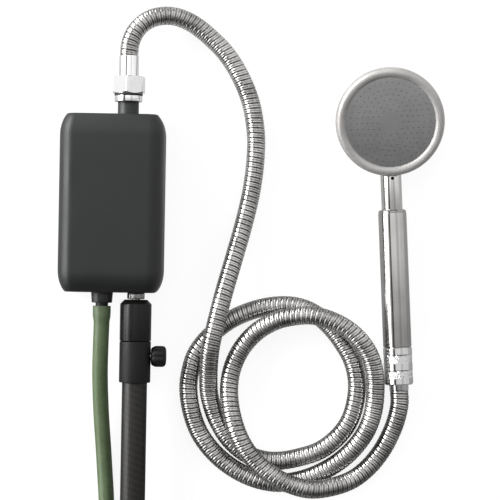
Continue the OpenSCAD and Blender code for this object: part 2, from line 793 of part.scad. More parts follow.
// Two layers of loops: in along the table, up a layer on the inmost half turn, and out again
function coil_radius(t) = coil_outer - coil_step * min(t, coil_turns - t);
function coil_height(t) =
    let (k = max(0, min(1, (t - coil_wind) / coil_climb)))
    coil_low + coil_step * k * k * (3 - 2 * k);
module intake_coil() {
    sides = 6;
    rings_per_turn = 24;
    count = round(coil_turns * rings_per_turn);
    loops = [
        for (i = [0:count])
            let (t = i / rings_per_turn)
            [coil_x + coil_radius(t) * cos(360 * t), coil_y - coil_radius(t) * sin(360 * t), coil_height(t)]
    ];
    tail = curve(concat([loops[count - 1], loops[count]], tail_route), 2);
    line = concat(
        [for (lead = [run_gap, coil_step / 5]) loops[0] - [0, lead, 0]], [for (i = [1:count]) loops[i]],
        [for (i = [3:len(tail) - 1]) tail[i]]
    );
    probe = evenly(line, 500);
    total = distances(line)[len(line) - 1];
    skip = ceil(3 * intake_d * 500 / total);
    gap = least_gap(probe, intake_d, skip);
    echo(str("intake coil: ", total, " mm long, least gap to itself ", gap, " mm"));
    color([0.38, 0.45, 0.32]) solid_hose(line, [for (p = line) intake_r], sides);
}

module coil_tie() {
    near = coil_radius(1 + tie_turn) - intake_r - 0.6;
    far = coil_radius(tie_turn) + intake_r + 0.6;
    high = coil_height(coil_turns) + intake_r + 0.3;
    color([0.1, 0.1, 0.1]) translate([coil_x, coil_y, 0]) rotate(-360 * tie_turn) difference() {
        translate([near - tie_t, -tie_w / 2, 0]) cube([far - near + 2 * tie_t, tie_w, high + tie_t]);
        translate([near, -tie_w, tie_t]) cube([far - near, 2 * tie_w, high - tie_t]);
    }
}

module strainer_body() {
    slots = 10;
    slot_w = 3;
    slot_from = 7;
    slot_end = 9;
    color([0.14, 0.14, 0.14]) on_strainer() difference() {
        union() {
            pipe(strainer_d / 2, strainer_d / 2 - 2, face_gap, strainer_len - 3);
            rod(strainer_d / 2 - 1, face_gap, 3);
            rod(neck_r, -barb_len, 3);
        }
        rod(inlet_bore / 2, -barb_len - 1, 4);
        for (k = [0:slots - 1])
            rotate(360 * (k + 0.5) / slots) translate([strainer_d / 2 - 4, -slot_w / 2, slot_from])
                cube([6, slot_w, strainer_len - slot_from - slot_end]);
    }
}

module strainer_cap() {
    color([0.14, 0.14, 0.14]) on_strainer() {
        rod(strainer_d / 2, strainer_len - 3, strainer_len);
        rod(strainer_d / 2 - 2.2, strainer_len - 6, strainer_len - 2);
    }
}

module pump_cover() {
    color([0.85, 0.85, 0.82]) on_pump() difference() {
        union() {
            rod(cover_boss_r, cover_boss_from, cover_from + 1);
            rod(housing_r, cover_from, housing_from);
        }
        rod(shank_r + run_gap, cover_boss_from - 1, cover_from);
        rod(eye_r, cover_from - 1, housing_from + 1);
    }
}

module pump_housing() {
    ear_x = outlet_x - inlet_x;
    color([0.85, 0.85, 0.82]) on_pump() difference() {
        union() {
            rod(housing_r, housing_from, housing_to);
            translate([ear_x - ear_r, -ear_r, ear_from]) cube([2 * ear_r, 2 * ear_r, housing_to - ear_from]);
            translate([ear_x, 0, 0]) rod(tube_spigot_r, housing_to - 1, housing_to + tube_spigot_len);
        }
        rod(chamber_r, housing_from - 1, chamber_to);
        rod(shaft_r + slide_gap, chamber_to - 1, housing_to);
        rod(shaft_r + 3 + run_gap, pocket_from, housing_to + 1);
        translate([0, 0, ear_from + ear_r - 0.5]) rotate([0, 90, 0]) rod(port_r, chamber_r - 4, ear_x);
        translate([ear_x, 0, 0])
            rod(port_r, ear_from + ear_r - 0.5 - port_r, housing_to + tube_spigot_len + 1);
    }
}

module impeller() {
    vanes = 6;
    hub_r = 4;
    disc_r = chamber_r - 1;
    from = housing_from + 2;
    to = chamber_to - 1;
    disc_t = 1.5;
    color([0.9, 0.9, 0.88]) on_pump() difference() {
        union() {
            rod(hub_r, from, to);
            rod(disc_r, to - disc_t, to);
            intersection() {
                for (k = [0:vanes - 1])
                    rotate(360 * k / vanes) translate([hub_r - 1, 1, from + 0.5])
                        rotate(25) cube([disc_r, 1.4, to - from - 1]);
                rod(disc_r, from, to);
            }
        }
        rod(shaft_r, from - 1, to + 1);
    }
}

module motor_shaft() {
    color([0.7, 0.7, 0.72]) on_pump() rod(shaft_r, housing_from + 2, motor_to + 1.5);
}

module armature() {
    poles = 5;
    color([0.55, 0.35, 0.2]) on_pump() difference() {
        rod(armature_r, housing_to + motor_end_t + 3, motor_to - 5);
        rod(shaft_r, housing_to, motor_to);
        for (k = [0:poles - 1])
            rotate(360 * k / poles) translate([armature_r, 0, 0]) rod(2, housing_to, motor_to);
    }
}

module shaft_seal() {
    color([0.06, 0.06, 0.06]) on_pump()
        pipe(shaft_r + 3, shaft_r + run_gap, pocket_from, pocket_from + seal_len);
}

module motor_can() {
    color([0.65, 0.66, 0.68]) on_pump() difference() {
        union() {
            rod(motor_r, housing_to, motor_to);
            rod(shaft_r + 3, pocket_from + seal_len, housing_to + 1);
        }
        rod(motor_r - motor_wall, housing_to + motor_end_t, motor_to + 1);
        rod(shaft_r + run_gap, housing_from, motor_to);
    }
}

module motor_magnets() {
    color([0.25, 0.25, 0.27]) on_pump() difference() {
        pipe(motor_r - motor_wall, magnet_r, housing_to + motor_end_t + 2, motor_to - 4);
        translate([-motor_r, -3, 0]) cube([2 * motor_r, 6, motor_to]);
    }
}

module motor_cap() {
    color([0.9, 0.9, 0.88]) on_pump() difference() {
        union() {
            rod(motor_r - motor_wall - run_gap, motor_to - 1.5, motor_to);
            rod(motor_r, motor_to, motor_to + motor_cap_t);
            for (x = [-7, 7])
                translate([x - 0.4, -1.5, motor_to + motor_cap_t - 1]) cube([0.8, 3, terminal_len + 1]);
        }
        rod(shaft_r + run_gap, motor_to - 2, motor_to + 2);
    }
}

module outlet_tube() {
    color([0.9, 0.9, 0.9]) on_outlet()
        pipe(tube_r, tube_spigot_r + run_gap, -in_y + housing_to + face_gap, in_y - flange_t - face_gap);
}

module at_cells()
    for (k = [0, 1]) translate([cell_x, 0, cell_z + k * cell_step]) rotate([-90, 0, 0]) children();

module battery_cells() {
    color([0.25, 0.45, 0.6]) at_cells() {
        rod(cell_r, -cell_half, cell_half - 1);
        rod(3, cell_half - 2, cell_half);
    }
}

module battery_cradle() {
    left = cell_x - cell_r - face_gap - web_t;
    high = cell_z + cell_step + 3;
    end = cell_half + face_gap;
    color([0.12, 0.12, 0.12]) {
        translate([left, -end - web_t, floor_z]) cube([web_t, 2 * end + 2 * web_t, high - floor_z]);
        for (y = [-end - web_t, end])
            translate([left, y, floor_z]) cube([cell_r + web_t + 4, web_t, high - floor_z]);
        translate([left, -end - web_t, floor_z]) cube([cell_r + web_t + 4, 2 * end + 2 * web_t, 0.4]);
    }
}

module circuit_board() {
    color([0.05, 0.3, 0.15]) translate([board_left, board_bottom, board_z]) cube([board_w, board_h, board_t]);
}

module board_parts() {
    chip_at = [0.25, 0.42];
    driver_at = [0.62, 0.15];
    choke_at = [0.18, 0.14];
    capacitor_at = [0.74, 0.58];
    part_w = board_w / 4.5;
    part_t = board_t * 2;
    module on_board(at)
        translate([board_left + at.x * board_w, board_bottom + at.y * board_h, board_z + board_t]) children();
    color([0.1, 0.1, 0.1]) {
        on_board(chip_at) cube([part_w, part_w, part_t / 2]);
        on_board(driver_at) cube([part_w, part_w, part_t]);
        on_board(choke_at) cube([part_w, part_w, part_t]);
        on_board(capacitor_at) cylinder(r = part_w / 2, h = 3 * part_t);
    }
}

module button_switch() {
    deep = 5;
    color([0.15, 0.15, 0.15]) {
        translate([button_x - 3, board_top - deep, board_z + board_t]) cube([6, deep, switch_tall]);
        translate([button_x, 0, axis_z]) rotate([-90, 0, 0]) rod(1.7, board_top - 1, board_top + 1.2);
    }
}

module power_button() {
    color([0.3, 0.31, 0.31]) translate([button_x, 0, axis_z]) rotate([-90, 0, 0]) {
        rod(button_d / 2, in_y - 1.5, top_y + button_out);
        rod(button_d / 2 + 1.2, in_y - 1.5, in_y - loose_gap);
        rod(1.5, board_top + 1.2 + button_travel + 0.1, in_y - 1);
    }
}

module charge_socket() {
    rim = 0.5;
    color([0.7, 0.7, 0.72]) difference() {
        port_box(port_slot_w, port_slot_h, -top_y + plug_recess + face_gap,
            -top_y + plug_recess + port_depth);
        port_box(port_slot_w - 2 * rim, port_slot_h - 2 * rim, -top_y, -top_y + port_depth - 1);
    }
}

module charge_board() {
    thick = 1.2;
    color([0.05, 0.3, 0.15]) translate([0, 0, -port_slot_h / 2 - thick / 2])
        port_box(plug_w, thick, -in_y + face_gap, -in_y + port_depth);
}

module port_plug() {
    nub = 1.2;
    bead_r = plug_t / 2;
    color([0.12, 0.12, 0.12]) {
        translate([port_x - plug_w / 2 + bead_r, -top_y, axis_z]) {
            translate([0, 0, -plug_h / 2]) cube([plug_w - bead_r, plug_t, plug_h]);
            translate([0, bead_r, 0]) rod(bead_r, -plug_h / 2, plug_h / 2);
        }
        port_box(port_slot_w - 1.8, port_slot_h - 1.8, -top_y + plug_t - 0.5, -top_y + plug_t + nub);
    }
}

module stand_insert() {
    color([0.75, 0.6, 0.3]) below(stand_x)
        pipe(insert_r, stud_d / 2 + slide_gap, top_y - wall - insert_len, top_y);
}

module stand_stud() {
    color([0.7, 0.7, 0.72]) below(stand_x) rod(stud_d / 2, in_y - insert_len + 2, cap_from + stud_into_cap);
}

module stud_locknut() {
    flutes = 24;
    color([0.75, 0.75, 0.77]) below(stand_x) difference() {
        rod(locknut_d / 2, locknut_from, locknut_from + locknut_t);
        rod(stud_d / 2 + slide_gap, locknut_from - 1, locknut_from + locknut_t + 1);
        for (k = [0:flutes - 1])
            rotate(360 * k / flutes) translate([locknut_d / 2 + 0.2, 0, 0])
                rod(0.6, locknut_from - 1, locknut_from + locknut_t + 1);
    }
}

module top_cap() {
    color([0.1, 0.1, 0.1]) below(stand_x) difference() {
        union() {
            cone(cap_d / 2 - cap_chamfer, cap_d / 2, cap_from, cap_from + cap_chamfer);
            rod(cap_d / 2, cap_from + cap_chamfer, cap_to);
        }
        rod(stud_d / 2, cap_from - 1, cap_from + stud_into_cap);
        rod(inner_d / 2 + run_gap, inner_from, cap_to + 1);
    }
}

module inner_tube() {
    color([0.3, 0.31, 0.32]) below(stand_x)
        pipe(inner_d / 2, inner_d / 2 - inner_wall, inner_from, inner_to);
}

module guide_bush() {
    color([0.85, 0.85, 0.82]) below(stand_x)
        pipe(pole_bore_r - run_gap, inner_d / 2, inner_to - bush_len, inner_to);
}

module lock_collar() {
    color([0.1, 0.1, 0.1]) difference() {
        below(stand_x) difference() {
            rod(collar_d / 2, collar_from, collar_to);
            rod(inner_d / 2 + slide_gap, collar_from - 1, collar_to);
            rod(pole_d / 2 + run_gap, pole_from, collar_to + 1);
        }
        on_clamp() rod(screw_d / 2 + slide_gap, 0, collar_d);
    }
}

module clamp_pad() {
    color([0.85, 0.85, 0.82]) on_clamp() rod(screw_d / 2 - slide_gap, pad_from, pad_from + pad_t);
}

module clamp_screw() {
    color([0.7, 0.7, 0.72]) on_clamp() rod(screw_d / 2, pad_from + pad_t + run_gap, knob_to - 2);
}

module clamp_knob() {
    lobes = 8;
    edge = 1.6;
    color([0.1, 0.1, 0.1]) on_clamp() difference() {
        union() {
            cone(knob_d / 2 - edge, knob_d / 2, knob_from, knob_from + edge);
            rod(knob_d / 2, knob_from + edge, knob_to - edge);
            cone(knob_d / 2, knob_d / 2 - edge, knob_to - edge, knob_to);
        }
        rod(screw_d / 2, knob_from - 1, knob_to - 2);
        for (k = [0:lobes - 1])
            rotate(360 * k / lobes) translate([knob_d / 2 + 1.2, 0, 0]) rod(2.2, knob_from - 1, knob_to + 1);
    }
}

module outer_tube() {
    color([0.24, 0.25, 0.26]) difference() {
        below(stand_x) pipe(pole_d / 2, pole_bore_r, pole_from, pole_to);
        on_clamp() rod(screw_d / 2 + face_gap, 0, collar_d);
    }
}

module foot_socket() {
    color([0.1, 0.1, 0.1]) below(stand_x) difference() {
        rod(socket_r, socket_from, socket_to);
        rod(pole_d / 2 + run_gap, socket_from - 1, pole_to);
        rod(spigot_d / 2 + run_gap, socket_to - socket_depth, socket_to + 1);
    }
}

front_shell();
rear_cover();
case_gasket();
case_screws();
outlet_stub();
outlet_adapter();
thread_seal();
hose_washer();
hex_nut();
pump_ferrule();
shower_hose();
head_ferrule();
knurled_nut();
handle_washer();
handle_tube();
neck_tube();
head_bowl();
head_rim();
spray_plate();
plate_gasket();
inlet_fitting();
intake_hose();
intake_coil();
coil_tie();
strainer_body();
strainer_cap();
pump_cover();
pump_housing();
impeller();
motor_shaft();
armature();
shaft_seal();
motor_can();
motor_magnets();
motor_cap();
outlet_tube();
battery_cells();
battery_cradle();
circuit_board();
board_parts();
button_switch();
power_button();
charge_socket();
charge_board();
port_plug();
stand_insert();
stand_stud();
stud_locknut();
top_cap();
inner_tube();
guide_bush();
lock_collar();
clamp_pad();
clamp_screw();
clamp_knob();
outer_tube();
foot_socket();
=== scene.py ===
import math

import bpy
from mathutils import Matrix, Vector


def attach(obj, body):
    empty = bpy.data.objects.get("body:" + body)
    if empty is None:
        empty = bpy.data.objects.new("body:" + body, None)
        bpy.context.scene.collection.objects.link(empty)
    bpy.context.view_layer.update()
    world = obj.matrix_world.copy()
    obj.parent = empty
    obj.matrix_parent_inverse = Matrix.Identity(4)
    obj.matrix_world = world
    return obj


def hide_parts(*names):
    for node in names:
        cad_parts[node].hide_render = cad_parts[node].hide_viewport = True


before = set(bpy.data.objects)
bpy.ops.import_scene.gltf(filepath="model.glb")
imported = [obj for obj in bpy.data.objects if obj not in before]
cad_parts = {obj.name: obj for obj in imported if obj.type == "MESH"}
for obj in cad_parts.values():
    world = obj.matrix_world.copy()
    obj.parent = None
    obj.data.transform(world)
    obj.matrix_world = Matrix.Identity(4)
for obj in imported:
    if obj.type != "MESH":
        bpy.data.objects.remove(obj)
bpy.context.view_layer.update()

# Camera
# The set lies flat on a white table and is seen from straight above, about a metre and a half up.
# The picture is turned by one degree, as the set lies in the photograph.
camera_height = 1.5
camera_middle = (0.108, -0.0344)
camera_turn = 1
picture_width = 0.395
sensor_width = 36
bpy.ops.object.camera_add(location=(*camera_middle, camera_height),
                          rotation=(0, 0, math.radians(camera_turn)))
camera = bpy.context.object
camera.data.sensor_width = sensor_width
camera.data.lens = sensor_width * camera_height / picture_width
bpy.context.scene.camera = camera
bpy.context.scene.view_settings.view_transform = "Standard"

# Shower hose
# Ribbed hose wound from a folded stainless strip round a rubber tube, so it bends in every direction.
# It leaves the ferrule on the pump, lies in two and a half loops and goes up into the hand shower.
mm = 0.001
up = Vector((0, 0, 1))
handset_place = (215, 68)
handset_turn = 3.2
handle_height = 11.3
hose_width = 14.6
hose_low = 7.5
hose_over = 23.0
hose_steps = 8
hose_spacing = 1
hose_crease = 50
strip_pitch = 3.87
strip_profile = (-0.45, -0.16, 0, -0.06, -0.24, -0.06, 0, -0.16)
# Painted shade for each row of a strip turn: the seam and the middle line of every rib are darkened in
# colour, standing in for the shade that falls in them.
strip_painted_shade = (0.85, 0.45, 0, 0.1, 0.6, 0.1, 0, 0.4)
strip_columns = 28
painted_groove_dark = (0.025, 0.025, 0.025, 1)
painted_groove_full = 0.9
same_place = 1e-6
grain_detail = 5
grain_range = {"From Min": 0.7, "From Max": 1.3}


def on_handset(down, height):
    turn = math.radians(handset_turn)
    return (handset_place[0] + down * math.sin(turn), handset_place[1] - down * math.cos(turn), height)


hose_route = [
    (11.5, 114.2, 23), (11.5, 117.7, 23), (12.2, 124.6, 23), (15.4, 133, 22.5), (21.1, 140.1, 21.3),
    (28.7, 145, 19.4), (37.5, 147.3, 16.9), (46, 147.3, 14.3), (54.5, 144.9, 11.7), (63.2, 140.4, 9.5),
    (74, 132, 8), (87, 119, hose_low), (98.5, 101, hose_low), (107, 80, hose_low), (111, 57, hose_low),
    (111, 36, hose_low), (108.3, 12, hose_low), (103, -13, 9.2), (95.6, -41, 15), (88.5, -67, 21.4),
    (83, -90, hose_over), (79.2, -108, 22.4), (77.7, -120, 19), (77.2, -132, 14.5), (77.7, -146, 10),
    (80.5, -158, 8), (85, -169, hose_low), (94, -183, hose_low), (107, -194, hose_low),
    (121, -199, hose_low), (135, -199.5, hose_low), (150, -196.5, hose_low), (165.5, -191, hose_low),
    (179, -180.6, hose_low), (188.3, -167.6, hose_low), (193, -152, hose_low), (193.8, -136, hose_low),
    (190, -120, hose_low), (182, -106, hose_low), (171.5, -93, hose_low), (158.5, -82.8, hose_low),
    (144.5, -77.9, hose_low), (129, -77.7, hose_low), (111, -81.7, hose_low), (93, -90, hose_low),
    (77.6, -102.6, hose_low), (67.4, -116, hose_low), (62.9, -130, hose_low), (61.5, -145, hose_low),
    (64.5, -163, hose_low), (71.5, -180, hose_low), (83.5, -195, hose_low), (98.5, -206.5, hose_low),
    (115, -214, hose_low), (132.5, -217, hose_low), (150, -214.5, hose_low), (166, -208.5, hose_low),
    (180.5, -199.5, 8.6), (192, -188.5, 11), (201.3, -175, 12.4), (206.5, -160, 13.4), (208, -144, 15),
    (207, -129, 17.3), (203.2, -116, 19.6), (195.6, -104.2, 21.9), (184.2, -94.2, hose_over),
    (170.5, -87.5, hose_over + 0.4), (157, -84.5, hose_over + 0.2), (143, -85.5, 22.5),
    (128.5, -89.5, 19.8), (114, -98.5, 16.6), (102.5, -112, 13.9), (95.5, -128, 12.8), (93.5, -145, 14.5),
    (96, -163, 19.3), (102.5, -181, 23), (112.5, -196, hose_over), (126, -207.7, hose_over),
    (140.5, -215.4, hose_over), (157, -219.8, 21.9), (174.5, -218.5, 16.6), (191.3, -213, 10.8),
    (204.8, -202.4, 8.1), (215, -189, hose_low), (221.8, -175, 8.7), (225.5, -163.5, 10.2),
    on_handset(220.9, 10.9), on_handset(210.1, handle_height),
]


def smooth_line(points, steps):
    points = [Vector(p) * mm for p in points]
    ends = [2 * points[0] - points[1], *points, 2 * points[-1] - points[-2]]
    line = []
    for a, b, c, d in zip(ends, ends[1:], ends[2:], ends[3:]):
        for k in range(steps):
            t = k / steps
            line.append(0.5 * (2 * b + (c - a) * t + (2 * a - 5 * b + 4 * c - d) * t ** 2
                               + (3 * b - a - 3 * c + d) * t ** 3))
    return [*line, points[-1]]


def even_line(line, spacing):
    reach = [0]
    for a, b in zip(line, line[1:]):
        reach.append(reach[-1] + (b - a).length)
    count = round(reach[-1] / spacing)
    even = []
    leg = 0
    for k in range(count + 1):
        along = reach[-1] * k / count
        while leg < len(line) - 2 and reach[leg + 1] < along:
            leg += 1
        share = (along - reach[leg]) / (reach[leg + 1] - reach[leg])
        even.append(line[leg].lerp(line[leg + 1], share))
    return even, reach[-1]


def line_headings(line):
    last = len(line) - 1
    return [(line[min(i + 1, last)] - line[max(i - 1, 0)]).normalized() for i in range(last + 1)]


def point_round(line, headings, share, angle, radius):
    place = min(max(share, 0), 1) * (len(line) - 1)
    i = min(int(place), len(line) - 2)
    middle = line[i].lerp(line[i + 1], place - i)
    ahead = headings[i].lerp(headings[i + 1], place - i)
    side = ahead.cross(up).normalized()
    rise = side.cross(ahead).normalized()
    return middle + radius * (side * math.cos(angle) + rise * math.sin(angle))


def choose(piece):
    bpy.ops.object.select_all(action="DESELECT")
    bpy.context.view_layer.objects.active = piece
    piece.select_set(True)


def close_mesh(piece):
    choose(piece)
    bpy.ops.object.mode_set(mode="EDIT")
    bpy.ops.mesh.select_all(action="SELECT")
    bpy.ops.mesh.remove_doubles(threshold=same_place)
    bpy.ops.mesh.fill_holes(sides=0)
    bpy.ops.mesh.select_all(action="SELECT")
    bpy.ops.mesh.normals_make_consistent(inside=False)
    bpy.ops.object.mode_set(mode="OBJECT")


def smooth_faces(piece, crease):
    choose(piece)
    bpy.ops.object.shade_smooth_by_angle(angle=math.radians(crease))


def hose_piece(name, points, faces):
    mesh = bpy.data.meshes.new(name)
    mesh.from_pydata(points, [], faces)
    piece = bpy.data.objects.new(name, mesh)
    bpy.context.collection.objects.link(piece)
    return piece


hose_line, hose_length = even_line(smooth_line(hose_route, hose_steps), hose_spacing * mm)
hose_headings = line_headings(hose_line)
strip_rows = len(strip_profile)
strip_turns = round(hose_length / (strip_pitch * mm))
row_count = strip_rows * (strip_turns + 2)
hose_points = []
painted_groove_shade = []
for row in range(row_count):
    for column in range(strip_columns):
        share = ((row - strip_rows) / strip_rows + column / strip_columns) / strip_turns
        fold = row % strip_rows if 0 < share < 1 else 0
        radius = (hose_width / 2 + strip_profile[fold]) * mm
        angle = math.tau * column / strip_columns
        hose_points.append(point_round(hose_line, hose_headings, share, angle, radius))
        painted_groove_shade.append(strip_painted_shade[fold])
hose_faces = []
for row in range(row_count - 1):
    for column in range(strip_columns):
        here = row * strip_columns + column
        beside = here + 1
        if column == strip_columns - 1:
            beside = (row + strip_rows) * strip_columns
        if beside + strip_columns < len(hose_points):
            hose_faces.append((here, beside, beside + strip_columns, here + strip_columns))
ribbed_hose = hose_piece("ribbed_hose", hose_points, hose_faces)
painted_groove_layer = ribbed_hose.data.attributes.new("painted_groove_shade", "FLOAT", "POINT")
painted_groove_layer.data.foreach_set("value", painted_groove_shade)
close_mesh(ribbed_hose)
smooth_faces(ribbed_hose, hose_crease)


def add_node(tree, kind, inputs, **settings):
    node = tree.nodes.new("ShaderNode" + kind)
    for setting, value in settings.items():
        setattr(node, setting, value)
    for socket, value in inputs.items():
        if isinstance(value, bpy.types.NodeSocket):
            tree.links.new(value, node.inputs[socket])
        else:
            node.inputs[socket].default_value = value
    return node


def surface_finish(name, dark, light, rough, grain, depth, brushed=(1, 1, 1), metallic=0, smudge=60,
                   specular=0.5):
    material = bpy.data.materials.new(name)
    material.use_nodes = True
    tree = material.node_tree
    shader = tree.nodes["Principled BSDF"]
    shader.inputs["Metallic"].default_value = metallic
    shader.inputs["Specular IOR Level"].default_value = specular
    place = add_node(tree, "TexCoord", {}).outputs["Object"]
    stretch = add_node(tree, "Mapping", {"Vector": place, "Scale": Vector(brushed) * grain})
    texture = {"Vector": stretch.outputs["Vector"], "Scale": 1, "Detail": grain_detail}
    fine = add_node(tree, "TexNoise", texture).outputs["Fac"]
    broad = add_node(tree, "TexNoise", {"Vector": place, "Scale": smudge}).outputs["Fac"]
    both = add_node(tree, "Math", {0: fine, 1: broad}, operation="ADD").outputs["Value"]
    tint = add_node(tree, "MapRange", {"Value": both, **grain_range}).outputs["Result"]
    shades = {"Factor": tint, "A": (*dark, 1), "B": (*light, 1)}
    colour = add_node(tree, "Mix", shades, data_type="RGBA").outputs["Result"]
    tree.links.new(colour, shader.inputs["Base Color"])
    polish = {"Value": both, **grain_range, "To Min": rough[0], "To Max": rough[1]}
    gloss = add_node(tree, "MapRange", polish).outputs["Result"]
    tree.links.new(gloss, shader.inputs["Roughness"])
    relief = add_node(tree, "Bump", {"Strength": 1, "Distance": depth * mm, "Height": fine})
    tree.links.new(relief.outputs["Normal"], shader.inputs["Normal"])
    return material


def paint_over(material, share, colour):
    tree = material.node_tree
    base = tree.nodes["Principled BSDF"].inputs["Base Color"]
    shades = {"Factor": share, "A": base.links[0].from_socket, "B": colour}
    painted = add_node(tree, "Mix", shades, data_type="RGBA").outputs["Result"]
    tree.links.new(painted, base)


strip_steel = surface_finish("strip_steel", dark=(0.34, 0.335, 0.325), light=(0.88, 0.87, 0.855),
                             rough=(0.22, 0.34), grain=700, depth=0.06, metallic=1)
# The steel's colour is darkened towards near black by the rows' painted shade, in the seams and middle
# lines of the ribs.
painted_groove_value = add_node(strip_steel.node_tree, "Attribute", {}, attribute_name="painted_groove_shade").outputs["Fac"]
painted_groove_share = add_node(strip_steel.node_tree, "MapRange", {"Value": painted_groove_value, "From Max": painted_groove_full})
paint_over(strip_steel, painted_groove_share.outputs["Result"], painted_groove_dark)


def fit_piece(piece, material, body, slot, *stands_for):
    piece.data.materials.clear()
    piece.data.materials.append(material)
    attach(piece, body)
    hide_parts(*stands_for)


fit_piece(ribbed_hose, strip_steel, "pump", "stainless_hose", "shower_hose")

# Intake hose
# Green hose of soft plastic, pushed over the inlet's pipe under the case, where it swells a little.
# The rest of it lies in a tied coil on the table, out of the picture, and ends in the strainer.
intake_width = 12.3
intake_steps = 6
intake_spacing = 3
intake_sides = 24
cuff_width = 14.0
cuff_length = 13
cuff_taper = 6
coil_low = 7.4
coil_middle = (-75, -318)
coil_reach = 72
coil_step = 12.9
coil_turns = 3.25
coil_points_per_turn = 24
climb_from = 1.375
climb_turns = 0.5
intake_route = [
    (-6.5, -79.8, 23), (-6.5, -93.8, 23), (-7, -112, 21.3), (-7.4, -131, 18), (-7, -150, 14.5),
    (-6, -170, 11.3), (-4.5, -190, 9), (-3, -211, 7.8), (-1.5, -233, coil_low), (-1.2, -256, coil_low),
    (-1.7, -280, coil_low), (-2.6, -302, coil_low), (-3, -310, coil_low),
]
strainer_route = [(-90, -391, 19.2), (-106, -390.6, 15.6), (-122, -390, 12.5), (-136, -390, 12.5)]


def ease(share):
    share = min(max(share, 0), 1)
    return share * share * (3 - 2 * share)


for k in range(round(coil_turns * coil_points_per_turn) + 1):
    turn = k / coil_points_per_turn
    reach = coil_reach - coil_step * min(turn, coil_turns - turn)
    intake_route.append((
        coil_middle[0] + reach * math.cos(math.tau * turn),
        coil_middle[1] - reach * math.sin(math.tau * turn),
        coil_low + coil_step * ease((turn - climb_from) / climb_turns),
    ))
intake_route += strainer_route
intake_line, intake_length = even_line(smooth_line(intake_route, intake_steps), intake_spacing * mm)
intake_headings = line_headings(intake_line)
intake_points = []
for k in range(len(intake_line)):
    share = k / (len(intake_line) - 1)
    swell = ease((cuff_length * mm - share * intake_length) / (cuff_taper * mm))
    radius = (intake_width + (cuff_width - intake_width) * swell) / 2 * mm
    for column in range(intake_sides):
        angle = math.tau * column / intake_sides
        intake_points.append(point_round(intake_line, intake_headings, share, angle, radius))
intake_faces = []
for k in range(len(intake_line) - 1):
    for column in range(intake_sides):
        here = k * intake_sides + column
        beside = k * intake_sides + (column + 1) % intake_sides
        intake_faces.append((here, beside, beside + intake_sides, here + intake_sides))
green_hose = hose_piece("green_hose", intake_points, intake_faces)
close_mesh(green_hose)
smooth_faces(green_hose, hose_crease)
green_plastic = surface_finish("green_plastic", dark=(0.07, 0.105, 0.047), light=(0.092, 0.132, 0.064),
                               rough=(0.36, 0.48), grain=350, depth=0.03)
fit_piece(green_hose, green_plastic, "pump", "green_hose", "intake_hose", "intake_coil")

# Table and light
# White table top with a faint shadow, under a large bright window on the left that has a bar in it.
# The room is light grey overhead and darker on the right, and the table is darker where metal mirrors it.
table_size = 40
table_drop = 0.8
table_colour = (0.9, 0.9, 0.9, 1)
table_glow = 0.8
table_glow_mirrored = 0.92
table_seen = 1.1
table_mirrored = (0.15, 0.75)
table_rises_over = (-0.22, 0.15)
bpy.ops.object.select_all(action="DESELECT")
bpy.ops.mesh.primitive_plane_add(size=table_size, location=(0, 0, -table_drop * mm))
table = bpy.context.object
table.name = "table"
table_white = bpy.data.materials.new("table_white")
table_white.use_nodes = True
table_tree = table_white.node_tree
table_tree.nodes.clear()
rays = add_node(table_tree, "LightPath", {}).outputs
table_place = add_node(table_tree, "TexCoord", {}).outputs["Object"]
table_axes = add_node(table_tree, "SeparateXYZ", {"Vector": table_place}).outputs
table_rise = add_node(table_tree, "MapRange", {
    "Value": table_axes["Y"],
    "From Min": table_rises_over[0],
    "From Max": table_rises_over[1],
    "To Min": table_mirrored[0],
    "To Max": table_mirrored[1],
}).outputs["Result"]
table_strength = add_node(table_tree, "MapRange", {
    "Value": rays["Is Camera Ray"],
    "To Min": table_rise,
    "To Max": table_seen,
}).outputs["Result"]
table_share = add_node(table_tree, "MapRange", {
    "Value": rays["Is Camera Ray"],
    "To Min": table_glow_mirrored,
    "To Max": table_glow,
}).outputs["Result"]
seen_or_mirrored = add_node(table_tree, "Math", {0: rays["Is Camera Ray"], 1: rays["Is Glossy Ray"]},
                            operation="MAXIMUM").outputs["Value"]
seen_through = add_node(table_tree, "Math", {0: seen_or_mirrored, 1: rays["Is Transmission Ray"]},
                        operation="MAXIMUM").outputs["Value"]
glow_share = add_node(table_tree, "Math", {0: seen_through, 1: table_share},
                      operation="MULTIPLY").outputs["Value"]
table_paint = add_node(table_tree, "BsdfDiffuse", {"Color": table_colour}).outputs["BSDF"]
table_light = add_node(table_tree, "Emission", {"Strength": table_strength}).outputs["Emission"]
table_mix = add_node(table_tree, "MixShader", {"Fac": glow_share, 1: table_paint, 2: table_light})
add_node(table_tree, "OutputMaterial", {"Surface": table_mix.outputs["Shader"]})
table.data.materials.append(table_white)

# Light by degrees from overhead, with the window below zero, and its share by reach along the set.
room_bands = [
    (-150, 0.3), (-112, 0.3), (-104, 3.4), (-86, 5), (-84, 10), (-80.5, 10), (-79.5, 0.8), (-68.5, 0.8),
    (-67.5, 10), (-57, 10), (-53, 2.6), (-48, 1.4), (-43, 0.9), (-39, 0.4), (-35, 0.05), (-27, 0.05),
    (-23, 0.78), (10, 0.78), (18, 0.68), (24, 0.5), (32, 0.5), (38, 0.64), (50, 0.68), (62, 0.6),
    (80, 0.6), (100, 0.45), (150, 0.35),
]
room_ends = [
    (-1, 0.08), (-0.62, 0.1), (-0.5, 0.25), (-0.3, 0.6), (-0.1, 0.8), (-0.02, 0.95), (0.03, 1.05),
    (0.08, 1.25), (0.14, 1.4), (0.4, 1.6), (0.75, 1.6), (0.9, 0.7), (1, 0.4),
]
stop_start = 0.5
room = bpy.data.worlds.new("room")
room.use_nodes = True
bpy.context.scene.world = room


